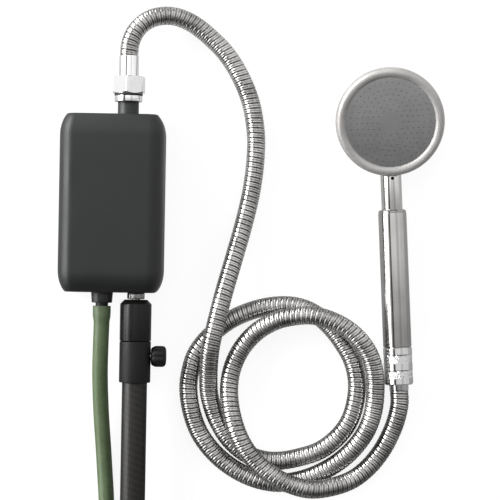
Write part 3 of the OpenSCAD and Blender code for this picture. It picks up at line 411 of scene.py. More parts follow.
def add_ramp(source, first, last, shades):
    span = add_node(room.node_tree, "MapRange", {"Value": source, "From Min": first, "From Max": last})
    ramp = add_node(room.node_tree, "ValToRGB", {"Fac": span.outputs["Result"]})
    stops = ramp.color_ramp.elements
    while len(stops) < len(shades):
        stops.new(stop_start)
    for stop, (reach, shade) in zip(stops, shades):
        stop.position = (reach - first) / (last - first)
        stop.color = (shade, shade, shade, 1)
    return ramp.outputs["Color"]


room_way = add_node(room.node_tree, "TexCoord", {}).outputs["Generated"]
room_axes = add_node(room.node_tree, "SeparateXYZ", {"Vector": room_way}).outputs
room_angle = add_node(room.node_tree, "Math", {0: room_axes["X"], 1: room_axes["Z"]}, operation="ARCTAN2")
round_the_set = add_ramp(room_angle.outputs["Value"], -math.pi, math.pi,
                         [(math.radians(degrees), shade) for degrees, shade in room_bands])
along_the_set = add_ramp(room_axes["Y"], -1, 1, room_ends)
room_light = add_node(room.node_tree, "Mix", {"Factor": 1, "A": round_the_set, "B": along_the_set},
                      data_type="RGBA", blend_type="MULTIPLY")
room.node_tree.links.new(room_light.outputs["Result"], room.node_tree.nodes["Background"].inputs["Color"])

lamp_place = Vector((1.0, 0.6, 1.3))
lamp_aim = Vector((0.1, 0, 0))
lamp_power = 6
lamp_size = 1.6
bpy.ops.object.light_add(type="AREA", location=lamp_place)
soft_lamp = bpy.context.object
soft_lamp.name = "soft_lamp"
soft_lamp.data.energy = lamp_power
soft_lamp.data.size = lamp_size
soft_lamp.visible_glossy = False
soft_lamp.rotation_euler = (lamp_aim - lamp_place).to_track_quat("-Z", "Y").to_euler()

# Front shell of the case
# Deep tub moulded in charcoal plastic with a fine matt texture, with wide soft corners.
# It is screwed to the rear cover from behind, and has holes for the button and the charge port.
case_size = Vector((81, 138, 46))
case_end = case_size.y / 2
case_corner = Vector((12, 20, 15))
case_segments = 14
case_foot_segments = 6
case_end_cut = 3
case_end_edge = 1.5
case_end_from = 35
case_end_to = 90
case_end_steps = 4
case_wall = 2.6
case_split = 12
case_edge = 0.35
case_edge_angle = 60
case_crease = 35
edge_segments = 2
cut_over = 1
block_segments = 4
block_angle = 30
hole_sides = 64
facing_out = (math.radians(-90), 0, 0)
facing_down = (math.radians(90), 0, 0)
button_place = (-24.8, 23)
button_hole = 6.1
button_hole_length = 8
port_middle = (-23, 23)
port_recess = Vector((14.6, 7.6, 1.3))


def pick_edges(piece, chosen):
    bpy.ops.object.mode_set(mode="EDIT")
    bpy.ops.mesh.select_mode(type="EDGE")
    bpy.ops.mesh.select_all(action="DESELECT")
    bpy.ops.object.mode_set(mode="OBJECT")
    points = piece.data.vertices
    for edge in piece.data.edges:
        a, b = (points[v].co for v in edge.vertices)
        edge.select = chosen(a, b)
    bpy.ops.object.mode_set(mode="EDIT")


def finish_with(piece, kind, **settings):
    choose(piece)
    step = piece.modifiers.new(kind.lower(), kind)
    for setting, value in settings.items():
        setattr(step, setting, value)
    bpy.ops.object.modifier_apply(modifier=step.name)


def break_edges(piece, width, segments, angle):
    finish_with(piece, "BEVEL", width=width * mm, segments=segments, limit_method="ANGLE",
                angle_limit=math.radians(angle))


def cut_with(piece, cutter, operation="DIFFERENCE"):
    finish_with(piece, "BOOLEAN", object=cutter, operation=operation, solver="EXACT")
    bpy.data.objects.remove(cutter)


def add_round(radius, middle, length, turn=(0, 0, 0)):
    bpy.ops.object.select_all(action="DESELECT")
    bpy.ops.mesh.primitive_cylinder_add(vertices=hole_sides, radius=radius * mm, depth=length * mm,
                                        location=Vector(middle) * mm, rotation=turn)
    return bpy.context.object


def add_block(size, middle, edge=0):
    bpy.ops.object.select_all(action="DESELECT")
    bpy.ops.mesh.primitive_cube_add(size=1, location=Vector(middle) * mm, scale=Vector(size) * mm)
    block = bpy.context.object
    bpy.ops.object.transform_apply(location=True, rotation=True, scale=True)
    if edge:
        break_edges(block, edge, block_segments, block_angle)
    return block


def round_end(blank, side, reach):
    arc = [math.radians(case_end_from + (case_end_to - case_end_from) * k / case_end_steps)
           for k in range(case_end_steps + 1)]
    cut_y = (reach - case_end_edge * (1 - math.sin(arc[0]))) * mm
    split_z = case_split * mm
    bpy.ops.object.mode_set(mode="EDIT")
    bpy.ops.mesh.select_all(action="SELECT")
    bpy.ops.mesh.bisect(plane_co=(0, side * cut_y, 0), plane_no=(0, side, 0), clear_outer=True)
    bpy.ops.object.mode_set(mode="OBJECT")
    rim = [point.co for point in blank.data.vertices if abs(point.co.y - side * cut_y) < same_place]
    half_wide = max(point.x for point in rim)
    tall = max(abs(point.z - split_z) for point in rim)
    pick_edges(blank, lambda a, b: min(side * a.y, side * b.y) > cut_y - same_place)
    for a, b in zip(arc, arc[1:]):
        inward = case_end_edge * (math.cos(a) - math.cos(b)) * mm
        onward = side * case_end_edge * (math.sin(b) - math.sin(a)) * mm
        bpy.ops.mesh.extrude_region_move(TRANSFORM_OT_translate={"value": (0, onward, 0)})
        bpy.ops.transform.resize(value=(1 - inward / half_wide, 1, 1 - inward / tall),
                                 center_override=(0, 0, split_z))
        half_wide -= inward
        tall -= inward
    bpy.ops.mesh.edge_face_add()
    bpy.ops.object.mode_set(mode="OBJECT")
    close_mesh(blank)


def case_blank(name, low, high, domed, inset=0, foot_edge=0):
    bpy.ops.object.select_all(action="DESELECT")
    corner = case_corner - Vector((inset, inset, inset))
    full = Vector((case_size.x - 2 * inset, case_size.y + 2 * case_end_cut - 2 * inset, high - low))
    steps = Vector(1 / c for c in corner)
    middle = Vector((0, 0, (low + high) / 2)) * steps
    bpy.ops.mesh.primitive_cube_add(size=1, location=middle, scale=full * steps)
    blank = bpy.context.object
    blank.name = name
    bpy.ops.object.transform_apply(location=True, rotation=True, scale=True)
    pick_edges(blank, lambda a, b: max(a.z, b.z) > middle.z and (domed or min(a.z, b.z) < middle.z))
    bpy.ops.mesh.bevel(offset=1, segments=case_segments, affect="EDGES")
    bpy.ops.object.mode_set(mode="OBJECT")
    blank.scale = corner * mm
    bpy.ops.object.transform_apply(location=True, rotation=True, scale=True)
    if foot_edge:
        pick_edges(blank, lambda a, b: max(a.z, b.z) < (low + high) / 2 * mm)
        bpy.ops.mesh.bevel(offset=foot_edge * mm, segments=case_foot_segments, affect="EDGES")
        bpy.ops.object.mode_set(mode="OBJECT")
    for side in (-1, 1):
        round_end(blank, side, case_end - inset)
    return blank


case_front = case_blank("case_front", case_split, case_size.z, domed=True)
shell_inside = case_blank("shell_inside", case_split - cut_over, case_size.z - case_wall, domed=True,
                          inset=case_wall)
cut_with(case_front, shell_inside)
break_edges(case_front, case_edge, edge_segments, case_edge_angle)
button_middle = (button_place[0], case_end, button_place[1])
cut_with(case_front, add_round(button_hole, button_middle, button_hole_length, facing_down))
port_size = (port_recess.x, 2 * port_recess.z, port_recess.y)
cut_with(case_front, add_block(port_size, (port_middle[0], -case_end, port_middle[1])))
smooth_faces(case_front, case_crease)
case_plastic = surface_finish("case_plastic", dark=(0.0095, 0.0103, 0.0104), light=(0.0128, 0.0138, 0.0139),
                              rough=(0.37, 0.5), grain=2600, depth=0.02, smudge=25)
fit_piece(case_front, case_plastic, "pump", "case_plastic", "front_shell")

# Rear cover of the case
# Shallow lid moulded in the same charcoal plastic, with a raised flat panel that the set rests on.
# Four screws hold it to the shell, in round recesses.
back_bevel = 3
panel_high = 0.4
panel_size = (57, 98)
panel_edge = 0.3
screw_reach = (35, 46.4)
screw_recess = 3.0
screw_recess_deep = 2.6
case_back = case_blank("case_back", panel_high, case_split, domed=False, foot_edge=back_bevel)
cover_inside = case_blank("cover_inside", panel_high + case_wall, case_split + cut_over, domed=False,
                          inset=case_wall)
cut_with(case_back, cover_inside)
break_edges(case_back, case_edge, edge_segments, case_edge_angle)
cut_with(case_back, add_block((*panel_size, 2 * panel_high), (0, 0, panel_high), panel_edge), "UNION")
for x in (-screw_reach[0], screw_reach[0]):
    for y in (-screw_reach[1], screw_reach[1]):
        cut_with(case_back, add_round(screw_recess, (x, y, panel_high), 2 * screw_recess_deep))
smooth_faces(case_back, case_crease)
fit_piece(case_back, case_plastic, "pump", "case_plastic", "rear_cover")

# Power button
# Round rubbery cap that stands a little out of the top of the case and presses the switch inside.
# It is moulded with a shallow dish for the fingertip, and slides in the hole of the shell.
turned_crease = 30
turned_edge_angle = 25
stem_radius = 1.5
stem_foot = 62.3
flange_radius = 7
flange_from = 65
flange_to = 66
button_radius = 5.8
button_top = 69.6
button_edge = 0.4
button_dish = [(4.4, 0), (3.2, 0.3), (1.4, 0.45)]


def put_in_place(piece, place, turn, crease):
    choose(piece)
    piece.location = Vector(place) * mm
    piece.rotation_euler = turn
    bpy.ops.object.transform_apply(location=True, rotation=True, scale=True)
    smooth_faces(piece, crease)


def turned_piece(name, outline, place=(0, 0, 0), turn=(0, 0, 0), closed=True, sides=96, edge=0.15):
    bpy.ops.object.select_all(action="DESELECT")
    radius, height = outline[0]
    bpy.ops.mesh.primitive_circle_add(vertices=sides, radius=radius * mm, location=(0, 0, height * mm))
    piece = bpy.context.object
    piece.name = name
    bpy.ops.object.transform_apply(location=True, rotation=True, scale=True)
    bpy.ops.object.mode_set(mode="EDIT")
    bpy.ops.mesh.select_mode(type="VERT")
    bpy.ops.mesh.select_all(action="SELECT")
    for next_radius, next_height in outline[1:] + outline[:1] * closed:
        bpy.ops.mesh.extrude_region_move(
            TRANSFORM_OT_translate={"value": (0, 0, (next_height - height) * mm)})
        growth = next_radius / radius
        bpy.ops.transform.resize(value=(growth, growth, 1), center_override=(0, 0, next_height * mm))
        radius, height = next_radius, next_height
    bpy.ops.object.mode_set(mode="OBJECT")
    close_mesh(piece)
    if edge:
        break_edges(piece, edge, edge_segments, turned_edge_angle)
    put_in_place(piece, place, turn, turned_crease)
    return piece


button_outline = [
    (stem_radius, stem_foot), (stem_radius, flange_from), (flange_radius, flange_from),
    (flange_radius, flange_to), (button_radius, flange_to), (button_radius, button_top - button_edge),
    (button_radius - button_edge, button_top), *((reach, button_top - sunk) for reach, sunk in button_dish),
]
button_axis = (button_place[0], 0, button_place[1])
round_button = turned_piece("round_button", button_outline, button_axis, facing_out, closed=False)
button_rubber = surface_finish("button_rubber", dark=(0.06, 0.062, 0.062), light=(0.075, 0.078, 0.077),
                               rough=(0.5, 0.62), grain=1800, depth=0.02)
fit_piece(round_button, button_rubber, "power_button", "case_plastic", "power_button")

# Charge port plug
# Soft rubber flap that keeps water out of the charge socket, with a nub that fits in it.
# It is held at its rounded left end, about which it swings open, and has a lip for a fingernail.
plug_size = Vector((14, 1.2, 7))
plug_edge = 0.45
nub_size = Vector((7.1, 1.7, 1.4))
nub_edge = 0.3
nub_sunk = 0.5
lip_size = Vector((1.2, 0.5, 3))
lip_edge = 0.15
lip_from_end = 1
plug_inside = plug_size.y - case_end
nub_y = plug_inside - nub_sunk + nub_size.y / 2
lip_x = port_middle[0] + plug_size.x / 2 - lip_from_end
port_flap = add_block(plug_size, (port_middle[0], plug_inside - plug_size.y / 2, port_middle[1]), plug_edge)
port_flap.name = "port_flap"
cut_with(port_flap, add_block(nub_size, (port_middle[0], nub_y, port_middle[1]), nub_edge), "UNION")
cut_with(port_flap, add_block(lip_size, (lip_x, -case_end, port_middle[1]), lip_edge))
smooth_faces(port_flap, case_crease)
black_rubber = surface_finish("black_rubber", dark=(0.016, 0.016, 0.016), light=(0.026, 0.026, 0.025),
                              rough=(0.55, 0.7), grain=900, depth=0.03)
fit_piece(port_flap, black_rubber, "port_plug", "black_plastic", "port_plug")

# Outlet stub
# Short pipe of the same charcoal plastic, which the water leaves the case by.
# A flange behind the case wall holds it, and the metal adapter is pressed on its upper end.
outlet_place = (11.5, 0, 23)
waterway = 4.6
stub_radius = 8.2
stub_foot = 60
stub_flange = 9.4
stub_flange_from = 64.4
stub_flange_to = 66.1
stub_shoulder = 78.9
stub_spigot = 6.5
stub_top = 85.9
stub_outline = [
    (waterway, stub_foot), (stub_flange, stub_flange_from), (stub_flange, stub_flange_to),
    (stub_radius, stub_flange_to), (stub_radius, stub_shoulder), (stub_spigot, stub_shoulder),
    (stub_spigot, stub_top), (waterway, stub_top),
]
outlet_pipe = turned_piece("outlet_pipe", stub_outline, outlet_place, facing_out)
fit_piece(outlet_pipe, case_plastic, "pump", "fitting_plastic", "outlet_stub")

# Outlet adapter
# Chromed brass ring with the half-inch thread that the hose nut screws on.
# It is turned from bar, with a slightly broken edge, and pressed on the plastic stub.
adapter_bore = 6.6
adapter_radius = 10.9
adapter_chamfer = (0.4, 0.5)
adapter_shoulder = 84
adapter_top = 92
thread_radius = 10.2


def chamfered(radius, start, stop, top_chamfer, foot_chamfer=None):
    foot_chamfer = foot_chamfer or top_chamfer
    return [(radius - top_chamfer[0], start), (radius, start + top_chamfer[1]),
            (radius, stop - foot_chamfer[1]), (radius - foot_chamfer[0], stop)]


adapter_outline = [
    (adapter_bore, stub_shoulder),
    *chamfered(adapter_radius, stub_shoulder, adapter_shoulder, adapter_chamfer),
    (thread_radius, adapter_shoulder), (thread_radius, adapter_top), (adapter_bore, adapter_top),
]
adapter_ring = turned_piece("adapter_ring", adapter_outline, outlet_place, facing_out)
chrome = surface_finish("chrome", dark=(0.86, 0.86, 0.86), light=(0.94, 0.94, 0.94), rough=(0.03, 0.06),
                        grain=700, depth=0.001, metallic=1)
fit_piece(adapter_ring, chrome, "pump", "chrome", "outlet_adapter")

# Thread seal
# Black rubber ring that sits on the adapter's shoulder, under the nut.
# It is squeezed between the two when the nut is screwed down.
seal_bore = 10.25
seal_radius = 11.1
seal_chamfer = (0.2, 0.3)
seal_top = 85.3
seal_outline = [
    (seal_bore, adapter_shoulder), *chamfered(seal_radius, adapter_shoulder, seal_top, seal_chamfer),
    (seal_bore, seal_top),
]
seal_ring = turned_piece("seal_ring", seal_outline, outlet_place, facing_out)
fit_piece(seal_ring, black_rubber, "pump", "rubber", "thread_seal")

# Hexagon nut of the hose
# Chromed brass union nut with chamfered corners, loose on the ferrule so that it can be screwed on.
# It is milled from hexagon bar and polished.
nut_sides = 6
nut_flats = 24
nut_from = 85.5
nut_to = 98.8
nut_turn = 115
nut_chamfer = (1.9, 1.3)
nut_bore = 7.9
nut_bore_length = 20
nut_thread = 10.3
nut_thread_deep = 9.8
nut_edge = 0.22
nut_edge_segments = 3
nut_edge_angle = 12
nut_crease = 10
nut_corner = nut_flats / math.sqrt(3)
nut_middle = (nut_from + nut_to) / 2
bpy.ops.object.select_all(action="DESELECT")
bpy.ops.mesh.primitive_cylinder_add(
    vertices=nut_sides, radius=nut_corner * mm, depth=(nut_to - nut_from) * mm,
    location=(0, 0, nut_middle * mm), rotation=(0, 0, math.radians(nut_turn)))
hose_nut = bpy.context.object
hose_nut.name = "hose_nut"
bpy.ops.object.transform_apply(location=True, rotation=True, scale=True)
nut_outline = chamfered(nut_corner, nut_from, nut_to, nut_chamfer)
nut_blank = turned_piece("nut_blank", nut_outline, closed=False, edge=0)
cut_with(hose_nut, nut_blank, "INTERSECT")
cut_with(hose_nut, add_round(nut_bore, (0, 0, nut_middle), nut_bore_length))
cut_with(hose_nut, add_round(nut_thread, (0, 0, nut_from), 2 * nut_thread_deep))
break_edges(hose_nut, nut_edge, nut_edge_segments, nut_edge_angle)
put_in_place(hose_nut, outlet_place, facing_out, nut_crease)
fit_piece(hose_nut, chrome, "hose_nut", "chrome", "hex_nut")

# Hose ferrule at the pump
# Chromed sleeve crimped over the end of the hose, with a lip inside the nut that seals on a washer.
# It is drawn and polished, with a rounded end towards the ribs.
ferrule_lip = 9.7
ferrule_lip_thick = 1.2
pump_ferrule_radius = 7.8
pump_ferrule_from = 94
pump_ferrule_to = 115.2
pump_ferrule_end = [(0, 1.2), (0.3, 0.2), (0.8, 0)]


def sleeve_outline(radius, start, stop, rounded_end):
    lip_stop = start + ferrule_lip_thick
    lip = [(waterway, start), (ferrule_lip, start), (ferrule_lip, lip_stop), (radius, lip_stop)]
    return [*lip, *((radius - inward, stop - back) for inward, back in rounded_end), (waterway, stop)]


pump_ferrule = sleeve_outline(pump_ferrule_radius, pump_ferrule_from, pump_ferrule_to, pump_ferrule_end)
pump_end = turned_piece("pump_end", pump_ferrule, outlet_place, facing_out)
fit_piece(pump_end, chrome, "pump", "chrome", "pump_ferrule")

# Hose ferrule at the hand shower
# The same sleeve at the other end of the hose, inside the knurled nut.
# Only its rounded end shows below the nut.
handle_place = (*handset_place, handle_height)
along_handle = (math.radians(90), 0, math.radians(handset_turn))
head_ferrule_radius = 7.5
head_ferrule_from = 190
head_ferrule_to = 210.9
head_ferrule_end = [(0, 0.9), (0.3, 0.2), (0.6, 0)]
head_ferrule = sleeve_outline(head_ferrule_radius, head_ferrule_from, head_ferrule_to, head_ferrule_end)
handset_end = turned_piece("handset_end", head_ferrule, handle_place, along_handle)
fit_piece(handset_end, chrome, "pump", "chrome", "head_ferrule")

# Knurled nut
# Chromed union nut at the foot of the handle, with two knurled bands between polished ones.
# The knurl is rolled in, so that it can be screwed tight by hand.
knurl_radius = 11.3
knurl_from = 177.1
knurl_to = 206.1
knurl_top_edge = 0.5
knurl_foot_edge = 0.9
knurl_bore = 10.3
knurl_seat = 191.4
knurl_seat_bore = 7.6
knurl_bands = ((5.5, 11.8), (17.7, 23.6))
knurl_margins = (0.25, 0.5)
knurl_ridges = 44
knurl_points_per_ridge = 4
knurl_sunk = 0.12
knurl_skin = 0.3
knurl_deep = 0.35
knurl_power = 3
knurl_row = 0.44
knurl_crease = 28
nut_rows = [(knurl_bore, knurl_from), (knurl_radius - knurl_top_edge, knurl_from),
            (knurl_radius, knurl_from + knurl_top_edge)]
for band in knurl_bands:
    band_from, band_to = (knurl_from + edge for edge in band)
    rows = round((band_to - band_from) / knurl_row)
    nut_rows += [(knurl_radius, band_from - margin) for margin in reversed(knurl_margins)]
    nut_rows += [(knurl_radius - knurl_sunk, band_from + (band_to - band_from) * k / rows)
                 for k in range(rows + 1)]
    nut_rows += [(knurl_radius, band_to + margin) for margin in knurl_margins]
nut_rows += [(knurl_radius, knurl_to - knurl_foot_edge), (knurl_radius - knurl_foot_edge, knurl_to),
             (knurl_seat_bore, knurl_to), (knurl_seat_bore, knurl_seat), (knurl_bore, knurl_seat)]
handle_nut = turned_piece("handle_nut", nut_rows, sides=knurl_points_per_ridge * knurl_ridges, edge=0)
for point in handle_nut.data.vertices:
    reach = math.hypot(point.co.x, point.co.y)
    along = point.co.z / mm - knurl_from
    in_band = any(low < along < high for low, high in knurl_bands)
    if in_band and reach > (knurl_radius - knurl_skin) * mm:
        angle = math.atan2(point.co.y, point.co.x) * knurl_ridges / 2
        twist = along * knurl_ridges / (2 * knurl_radius)
        ridge = max(abs(math.sin(angle + twist)), abs(math.sin(angle - twist)))
        point.co.xy *= 1 - knurl_deep * mm * ridge ** knurl_power / reach
put_in_place(handle_nut, handle_place, along_handle, knurl_crease)
fit_piece(handle_nut, chrome, "handle_nut", "chrome", "knurled_nut")

# Handle
# Tube of stainless steel with a satin finish brushed along its length, chamfered at the top.
# A fine turned line runs round it just below the chamfer, and the hose thread is cut on its foot.
handle_radius = 11.1
handle_bore = 7
handle_from = 69
handle_chamfer = [(9.6, handle_from), (10.9, 70.1), (10.95, 70.9)]
handle_line = [(10.75, 71.1), (10.75, 71.4)]
handle_line_end = 71.6
handle_to = 176.6
handle_foot_edge = (0.3, 0.5)
handle_thread_to = 188.1
neck_socket = 8.25
neck_seat = 79
tube_edge = 0.1
handle_outline = [
    (neck_socket, handle_from), *handle_chamfer, *handle_line, (handle_radius, handle_line_end),
    (handle_radius, handle_to - handle_foot_edge[1]), (handle_radius - handle_foot_edge[0], handle_to),
    (thread_radius, handle_to), (thread_radius, handle_thread_to), (handle_bore, handle_thread_to),
    (handle_bore, neck_seat), (neck_socket, neck_seat),
]
handle_grip = turned_piece("handle_grip", handle_outline, handle_place, along_handle, edge=tube_edge)
satin_steel = surface_finish("satin_steel", dark=(0.45, 0.44, 0.43), light=(0.53, 0.52, 0.51),
                             rough=(0.09, 0.16), grain=25, brushed=(60, 1, 60), depth=0.004, metallic=1)
fit_piece(handle_grip, satin_steel, "pump", "stainless", "handle_tube")

# Neck
# Thinner, brighter steel tube that joins the handle to the back of the head, welded under the rim.
# A small drain hole is drilled beside the weld.
neck_radius = 8.2
neck_bore = 7
neck_from = 34
drain_down = 44.6
drain_height = 19
drain_aside = 0.6
drain_radius = 1.3
drain_length = 8


def tube_outline(bore, radius, start, stop):
    return [(bore, start), (radius, start), (radius, stop), (bore, stop)]


neck_outline = tube_outline(neck_bore, neck_radius, neck_from, neck_seat)
neck_pipe = turned_piece("neck_pipe", neck_outline, handle_place, along_handle, edge=tube_edge)
drain_middle = Vector(on_handset(drain_down, drain_height)) + Vector((drain_aside, 0, 0))
cut_with(neck_pipe, add_round(drain_radius, drain_middle, drain_length))
smooth_faces(neck_pipe, turned_crease)
bright_steel = surface_finish("bright_steel", dark=(0.6, 0.59, 0.575), light=(0.7, 0.69, 0.675),
                              rough=(0.07, 0.12), grain=25, brushed=(60, 1, 60), depth=0.003, metallic=1)
fit_piece(neck_pipe, bright_steel, "pump", "stainless", "neck_tube")

# Head bowl
# Back of the shower head, pressed from stainless sheet as a shallow bowl.
# The neck is welded into its side and the rim is pressed over its edge.
head_drop = 0.9
head_height = 25.8
head_tilt = 12
bowl_edge = 0.2
head_place = on_handset(head_drop, head_height)
head_turn = (math.radians(head_tilt), 0, math.radians(handset_turn))
bowl_outside = [
    (40.7, 2), (40.7, -4), (40.2, -7.6), (38.7, -10.6), (36, -13.8), (32.6, -16.4), (28.5, -19),
    (23.6, -21), (17.6, -22.3), (11.5, -23), (0.4, -23.2),
]
bowl_inside = [
    (0.4, -21.9), (11.4, -21.8), (17.4, -21.3), (23.2, -19.9), (28, -17.8), (32, -15.3), (35.2, -12.9),
    (37.6, -10), (39, -7.2), (39.4, -3.8), (39.4, 0.8), (34, 0.8), (34, 2),
]
head_back = turned_piece("head_back", bowl_outside + bowl_inside, head_place, head_turn, edge=bowl_edge)
fit_piece(head_back, satin_steel, "pump", "stainless", "head_bowl")

# Head rim
# Rounded ring of satin steel that holds the spray plate, pressed over the edge of the bowl.
# It is finely blasted, so it shines softly all round.
rim_sides = 128
rim_outline = [
    (35, 4.2), (35.15, 4.9), (35.6, 5.6), (36.4, 6.2), (37.4, 6.6), (38.5, 6.75), (39.6, 6.6), (40.6, 6.1),
    (41.4, 5.2), (42, 3.9), (42.3, 2.2), (42.4, 0.6), (42.4, -1.7), (42.1, -2.4), (40.9, -2.5), (40.9, 2),
    (37.2, 2), (37.2, 4.2),
]
head_ring = turned_piece("head_ring", rim_outline, head_place, head_turn, sides=rim_sides, edge=0)
rim_steel = surface_finish("rim_steel", dark=(0.4, 0.39, 0.38), light=(0.49, 0.48, 0.47), rough=(0.5, 0.6),
                           grain=700, depth=0.02, metallic=0.6)
fit_piece(head_ring, rim_steel, "pump", "stainless", "head_rim")

# Spray plate
# Thin plate of steel with rings of hair-fine holes that the water jets out of.
# It is pressed a little domed, brushed, and clamped under the rim on a rubber gasket.
plate_radius = 37
plate_low = 3.2
plate_thick = 1
plate_crown = 1
plate_rows = 12
plate_pinhole = 0.005
spray_rings = ((10, 12), (14, 18), (18, 24), (22, 30), (26, 36), (31, 42))
spray_hole = 0.36
spray_hole_sides = 10
spray_hole_length = 4
plate_back = [(plate_radius * max(1 - k / plate_rows, plate_pinhole),
               plate_low + plate_crown * (1 - (1 - k / plate_rows) ** 2)) for k in range(plate_rows + 1)]
plate_face = [(reach, height + plate_thick) for reach, height in reversed(plate_back)]
jet_plate = turned_piece("jet_plate", plate_back + plate_face, sides=rim_sides, edge=0)
bpy.ops.object.select_all(action="DESELECT")
jet_holes = []
for reach, count in spray_rings:
    for k in range(count):
        turn = math.tau * k / count
        bpy.ops.mesh.primitive_cylinder_add(
            vertices=spray_hole_sides, radius=spray_hole * mm, depth=spray_hole_length * mm,
            location=Vector((reach * math.cos(turn), reach * math.sin(turn), plate_low + plate_thick)) * mm)
        jet_holes.append(bpy.context.object)
for jet_hole in jet_holes:
    jet_hole.select_set(True)
bpy.ops.object.join()
cut_with(jet_plate, bpy.context.object)
put_in_place(jet_plate, head_place, head_turn, turned_crease)
plate_steel = surface_finish("plate_steel", dark=(0.44, 0.44, 0.44), light=(0.51, 0.51, 0.51),
                             rough=(0.22, 0.32), grain=60, brushed=(1, 30, 30), depth=0.006, metallic=1)


def paint_nodes(material, *names):
    for name in names:
        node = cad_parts[name]
        node.data.materials.clear()
        node.data.materials.append(material)


fit_piece(jet_plate, plate_steel, "pump", "stainless", "spray_plate")
paint_nodes(black_rubber, "plate_gasket", "handle_washer", "hose_washer", "case_gasket", "shaft_seal")

# Inlet fitting
# Tapered collar of charcoal plastic under the case, with a pipe that the green hose is pushed over.
# It goes through the case wall into the pump's cover.
inlet_place = (-6.5, 0, 23)
inlet_bore = 3
inlet_shank = 6
inlet_from = 58.6
inlet_collar_to = 77.3
inlet_taper = [(8.5, case_end), (7.95, 76.9), (7.6, inlet_collar_to)]
inlet_pipe = 4.9
inlet_to = 90.8
moulded_edge = 0.25
inlet_outline = [
    (inlet_bore, inlet_from), (inlet_shank, inlet_from), (inlet_shank, case_end), *inlet_taper,
    (inlet_pipe, inlet_collar_to), (inlet_pipe, inlet_to), (inlet_bore, inlet_to),
]
inlet_collar = turned_piece("inlet_collar", inlet_outline, inlet_place, facing_down, edge=moulded_edge)
fit_piece(inlet_collar, case_plastic, "pump", "fitting_plastic", "inlet_fitting")

# Stud and lock nut of the stand
# Steel stud that screws into the case, with a fluted steel nut that locks the stand in its place.
# The nut is turned and its flutes are milled for the fingers.
stand_place = (20, 0, 23)
lock_bore = 3.25
lock_radius = 6.9
lock_from = 69.3
lock_to = 74.0
lock_chamfer = (0.5, 0.5)
lock_edge = 0.1
lock_flutes = 9
lock_flute_deep = 0.9
lock_flute_from = 6.2
points_per_flute = 16
fluted_crease = 40
lock_outline = [
    (lock_bore, lock_from), *chamfered(lock_radius, lock_from, lock_to, lock_chamfer), (lock_bore, lock_to),
]


def flute(piece, flutes, deep, least):
    for point in piece.data.vertices:
        reach = math.hypot(point.co.x, point.co.y)
        if reach > least * mm:
            wave = (1 + math.cos(flutes * math.atan2(point.co.y, point.co.x))) / 2
            point.co.xy *= 1 - deep * mm * wave ** 2 / reach


lock_ring = turned_piece("lock_ring", lock_outline, sides=points_per_flute * lock_flutes, edge=lock_edge)
flute(lock_ring, lock_flutes, lock_flute_deep, lock_flute_from)
put_in_place(lock_ring, stand_place, facing_down, fluted_crease)
turned_steel = surface_finish("turned_steel", dark=(0.22, 0.22, 0.22), light=(0.3, 0.3, 0.29),
                              rough=(0.12, 0.24), grain=900, depth=0.01, metallic=1)
fit_piece(lock_ring, turned_steel, "lock_nut", "steel", "stud_locknut")
paint_nodes(turned_steel, "stand_stud", "case_screws", "clamp_screw", "motor_shaft", "charge_socket")

# Top cap of the stand
# Black cap moulded round the stud at the head of the stand, with a wide chamfer.
# The inner tube is glued into it from below.
cap_bore = 3.1
cap_radius = 12.25
cap_from = 74.6
cap_chamfer = [(8.9, cap_from), (12.0, 77.7), (cap_radius, 78.4)]
cap_to = 106.6
cap_foot_edge = (0.3, 0.4)
cap_socket = 8.05
inner_from = 82.1
cap_outline = [
    (cap_bore, cap_from), *cap_chamfer, (cap_radius, cap_to - cap_foot_edge[1]),
    (cap_radius - cap_foot_edge[0], cap_to), (cap_socket, cap_to), (cap_socket, inner_from),
    (cap_bore, inner_from),
]
stand_cap = turned_piece("stand_cap", cap_outline, stand_place, facing_down, edge=moulded_edge)
black_plastic = surface_finish("black_plastic", dark=(0.006, 0.006, 0.006), light=(0.009, 0.009, 0.0088),
                               rough=(0.22, 0.32), grain=1600, depth=0.01, specular=0.22)
fit_piece(stand_cap, black_plastic, "stand_head", "black_plastic", "top_cap")

# Lock collar
# Black moulded collar at the top of the pole, with the clamp knob's screw in its side.
# It is glued on the pole and slides on the inner tube.
collar_bore = 8.1
collar_radius = 12.2
collar_from = 107
collar_top_chamfer = (0.3, 0.3)
collar_to = 138.8
collar_foot_chamfer = (0.3, 0.4)
collar_edge = 0.2
pole_seat = 9.8
pole_from = 111.9
clamp_y = -118.4
clamp_hole = 2.7
clamp_hole_out = 10
clamp_hole_length = 12
clamp_hole_middle = (stand_place[0] + clamp_hole_out, clamp_y, stand_place[2])
facing_right = (0, math.radians(90), 0)
collar_outline = [
    (collar_bore, collar_from),
    *chamfered(collar_radius, collar_from, collar_to, collar_top_chamfer, collar_foot_chamfer),
    (pole_seat, collar_to), (pole_seat, pole_from), (collar_bore, pole_from),
]
pole_collar = turned_piece("pole_collar", collar_outline, stand_place, facing_down, edge=collar_edge)
cut_with(pole_collar, add_round(clamp_hole, clamp_hole_middle, clamp_hole_length, facing_right))
smooth_faces(pole_collar, turned_crease)
collar_plastic = surface_finish("collar_plastic", dark=(0.0075, 0.0075, 0.0075),
                                light=(0.011, 0.011, 0.0107), rough=(0.42, 0.54), grain=2200, depth=0.02,
                                specular=0.2)
fit_piece(pole_collar, collar_plastic, "stand_pole", "black_plastic", "lock_collar")

